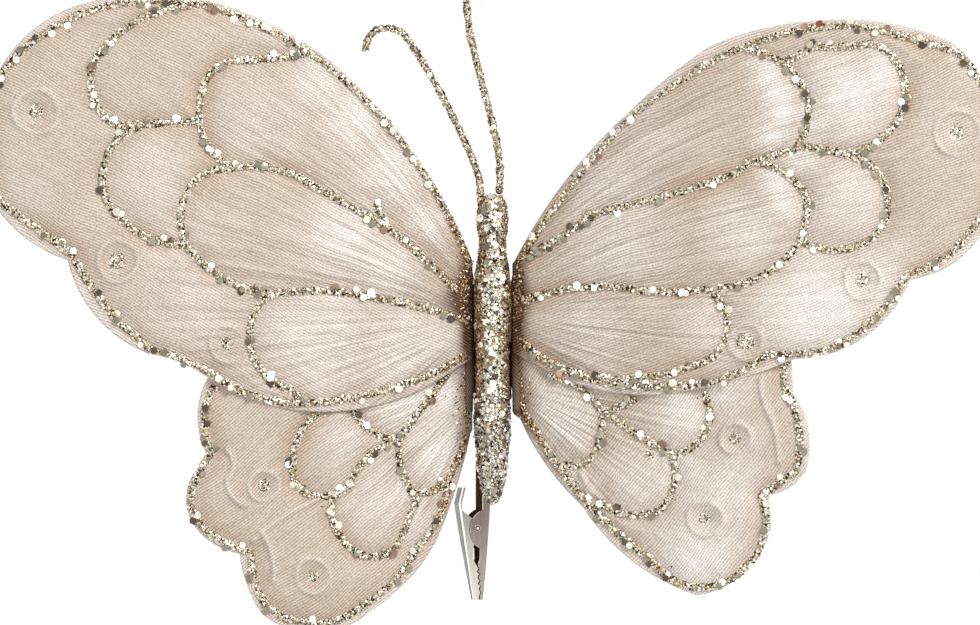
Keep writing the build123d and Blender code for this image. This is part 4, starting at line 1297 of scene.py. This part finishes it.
class ORNAMENT_OT_clip(bpy.types.Operator):
    """Finish the clip in nickel"""
    bl_idname = "ornament.clip"
    bl_label = "Clip"

    def execute(self, context):
        cool = context.scene.butterfly_finishes.nickel
        # Each jaw's upper and lower end tones make a painted reflection that runs down the jaw
        warm, pale = tone(0.49, 0.45, 0.425), tone(0.78, 0.77, 0.74)
        fixed = self.plated("fixed jaw nickel", warm, cool, 1.0, 0.0021, 0.0010)
        moving = self.plated("moving jaw nickel", cool, pale, -1.0, 0.00155, 0.00045)
        give_finish("clip_fixed_jaw", fixed)
        give_finish("clip_moving_jaw", moving)
        give_finish("clip_pivot_pin", self.rivet("rivet nickel", pale))
        give_finish("clip_spring", self.rivet("spring steel", tone(0.5, 0.49, 0.48)))
        return {"FINISHED"}

    def directions(self):
        """The way along the pin towards the front, and the way out of the moving jaw's back."""
        along = -np.array(JOINTS["clip_opens"]["axis"])
        return tuple(along), (float(along[1]), float(-along[0]), 0.0)

    def plated(self, name, upper, lower, inward, wide, narrow):
        """Plated sheet with streaks drawn along it, and a painted shade inside the channel, where
        it is dull, dark brown and not metal. A face is inside where its normal points at the
        middle of the pin, or where it faces the other jaw between the cheeks. Its tone runs from
        the upper to the lower end as a painted reflection, the web's back has a painted shade line
        and a painted highlight by its edge, and the faces turned to the other jaw beside the
        channel have a painted highlight."""
        look = new_look(name, 0.3, 1.0)
        along, out = self.directions()
        coords = look.add("TexCoord")
        place, normal = coords["Object"], coords["Normal"]
        height = look.add("SeparateXYZ", {0: place})["Z"]
        aside = look.vector("DOT_PRODUCT", place, along, "Value")
        sideways = look.vector("DOT_PRODUCT", normal, along, "Value")
        facing = look.times(look.vector("DOT_PRODUCT", normal, out, "Value"), inward)
        half = look.span(height, -0.00525, 0.01274, narrow, wide)
        cheek = look.below(look.times(sideways, aside), -0.0003)
        towards = look.above(facing, 0.5)
        web = look.times(towards, look.below(look.size(aside), half))
        inside = look.maths("MAXIMUM", cheek, web)
        over = look.maths("DIVIDE", aside, half)
        # The web's back: grey, with a painted shade line and a painted highlight by its edge
        web_shade_line = look.mix(look.above(over, 0.20), tone(0.52, 0.53, 0.51), tone(0.34, 0.34, 0.32))
        ridge = look.mix(look.above(over, 0.46), web_shade_line, tone(0.97, 0.96, 0.94))
        streaks = look.noise(place, (3000.0, 3000.0, 120.0), 2.0)
        # Painted reflection: the tone runs from the upper to the lower end
        cover = look.mix(look.span(height, 0.014, -0.003), upper, lower)
        cover = look.mix(look.below(facing, -0.5), cover, ridge)
        # Painted highlight on the faces turned to the other jaw beside the channel
        cover = look.mix(look.minus(towards, web), cover, tone(0.96, 0.95, 0.92))
        cover = look.scaled(cover, look.span(streaks, 0.3, 0.7, 0.84, 1.12))
        # Painted shade inside the channel: dark brown and not metal
        return look.close({
            "Base Color": look.mix(inside, cover, tone(0.42, 0.32, 0.26)),
            "Metallic": look.minus(1.0, inside),
            "Roughness": look.span(look.noise(place, 420.0, 4.0), 0.3, 0.7, 0.22, 0.40),
            "Normal": look.bump(0.18, 0.00004, streaks),
        })

    def rivet(self, name, cover):
        """Bright metal with a dark ring where the rivet's end is rolled over."""
        look = new_look(name, 0.3, 1.0)
        off = look.vector("SUBTRACT", look.place(), tuple(JOINTS["clip_opens"]["pos_m"]))
        across = look.vector("CROSS_PRODUCT", off, self.directions()[0])
        away = look.add("VectorMath", {0: across}, operation="LENGTH")["Value"]
        ring = look.span(look.size(look.minus(away, 0.00054)), 0.00013, 0.00020, 1.0, 0.0)
        return look.close({"Base Color": look.mix(ring, cover, tone(0.32, 0.28, 0.25))})


class ORNAMENT_OT_stage(bpy.types.Operator):
    """Set the floor, the lamps and the camera"""
    bl_idname = "ornament.stage"
    bl_label = "Stage"

    def execute(self, context):
        self.make_floor()
        self.make_world(context)
        self.make_lamp("key", (0.75, -1.05, 1.0), 0.6, 18.5)
        self.make_lamp("fill", (-0.9, -1.2, 0.4), 0.9, 4.2)
        self.make_lamp("back", (0.2, 0.9, 0.8), 0.8, 8.0)
        self.make_camera(context)
        return {"FINISHED"}

    def make_floor(self):
        """A pale floor that reads as white but keeps the shadow on it."""
        half, height = 1.0, -0.016
        corners = [(-half, -half), (half, -half), (half, half), (-half, half)]
        mesh = bpy.data.meshes.new("floor")
        mesh.from_pydata([(x, y, height) for x, y in corners], [], [(0, 1, 2, 3)])
        floor = bpy.data.objects.new("floor", mesh)
        bpy.context.scene.collection.objects.link(floor)
        look = new_look("pale floor", 0.9)
        mesh.materials.append(look.close({
            "Base Color": (0.8, 0.8, 0.8), "Specular IOR Level": 0.0,
            "Emission Color": (1.0, 1.0, 1.0),
            "Emission Strength": look.times(seen_ray(look), 0.62),
        }))

    def make_world(self, context):
        """White where the camera, metal or glass looks at it, and a softer light elsewhere."""
        look = Look(bpy.data.worlds.new("white room"), "BACKGROUND")
        strength = look.span(seen_ray(look), 0.0, 1.0, 0.28, 1.0)
        context.scene.world = look.close({"Color": (1.0, 1.0, 1.0), "Strength": strength})

    def make_lamp(self, name, place, size, power):
        """A soft lamp that looks at the middle of the wings."""
        data = bpy.data.lights.new(name, "AREA")
        data.size, data.energy = size, power
        lamp = bpy.data.objects.new(name, data)
        bpy.context.scene.collection.objects.link(lamp)
        aim = np.array([0.004, -0.01, 0.08]) - np.array(place)
        turn = math.atan2(aim[1], aim[0]) - math.pi / 2
        lamp.location = place
        lamp.rotation_euler = (math.atan2(math.hypot(aim[0], aim[1]), -aim[2]), 0.0, turn)

    def make_camera(self, context):
        """A long lens straight in front, framed as the photograph is."""
        data = bpy.data.cameras.new("camera")
        data.sensor_width, data.lens, data.clip_end = 36.0, 600.0, 20.0
        camera = bpy.data.objects.new("camera", data)
        context.scene.collection.objects.link(camera)
        width, plane = 0.245, -0.015
        distance = width * data.lens / data.sensor_width
        camera.location = (0.0035, plane - distance, 0.066875)
        camera.rotation_euler = (math.pi / 2, 0.0, 0.0)
        context.scene.camera = camera
        context.scene.view_settings.view_transform = "Standard"


def seen_ray(look):
    """1 for a ray from the camera or off metal or glass, and 0 for light that spreads."""
    rays = look.add("LightPath")
    seen = look.maths("MAXIMUM", rays["Is Camera Ray"], rays["Is Glossy Ray"])
    return look.maths("MAXIMUM", seen, rays["Is Transmission Ray"])


PIECES = (
    ORNAMENT_OT_wings, ORNAMENT_OT_wing_glitter, ORNAMENT_OT_wing_backs, ORNAMENT_OT_body,
    ORNAMENT_OT_antennae, ORNAMENT_OT_glue, ORNAMENT_OT_clip, ORNAMENT_OT_stage,
)


class ORNAMENT_PT_pieces(bpy.types.Panel):
    """The ornament's sizes, colours and pieces"""
    bl_idname = "ORNAMENT_PT_pieces"
    bl_label = "Butterfly ornament"
    bl_space_type = "VIEW_3D"
    bl_region_type = "UI"
    bl_category = "Butterfly"

    def draw(self, context):
        for label, _ in GROUPS:
            group = getattr(context.scene, label)
            for name in group.__annotations__:
                self.layout.prop(group, name)
        for piece in PIECES:
            self.layout.operator(piece.bl_idname)


GROUPS = (
    ("butterfly_wings", WingSizes), ("butterfly_glitter", GlitterSizes),
    ("butterfly_finishes", Finishes),
)


def register():
    for label, group in GROUPS:
        bpy.utils.register_class(group)
        setattr(bpy.types.Scene, label, bpy.props.PointerProperty(type=group))
    for piece in PIECES + (ORNAMENT_PT_pieces,):
        bpy.utils.register_class(piece)


def unregister():
    for piece in reversed(PIECES + (ORNAMENT_PT_pieces,)):
        bpy.utils.unregister_class(piece)
    for label, group in GROUPS:
        delattr(bpy.types.Scene, label)
        bpy.utils.unregister_class(group)


def main():
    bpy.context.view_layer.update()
    register()
    for piece in PIECES:
        group, name = piece.bl_idname.split(".")
        getattr(getattr(bpy.ops, group), name)()


if __name__ == "__main__":
    main()
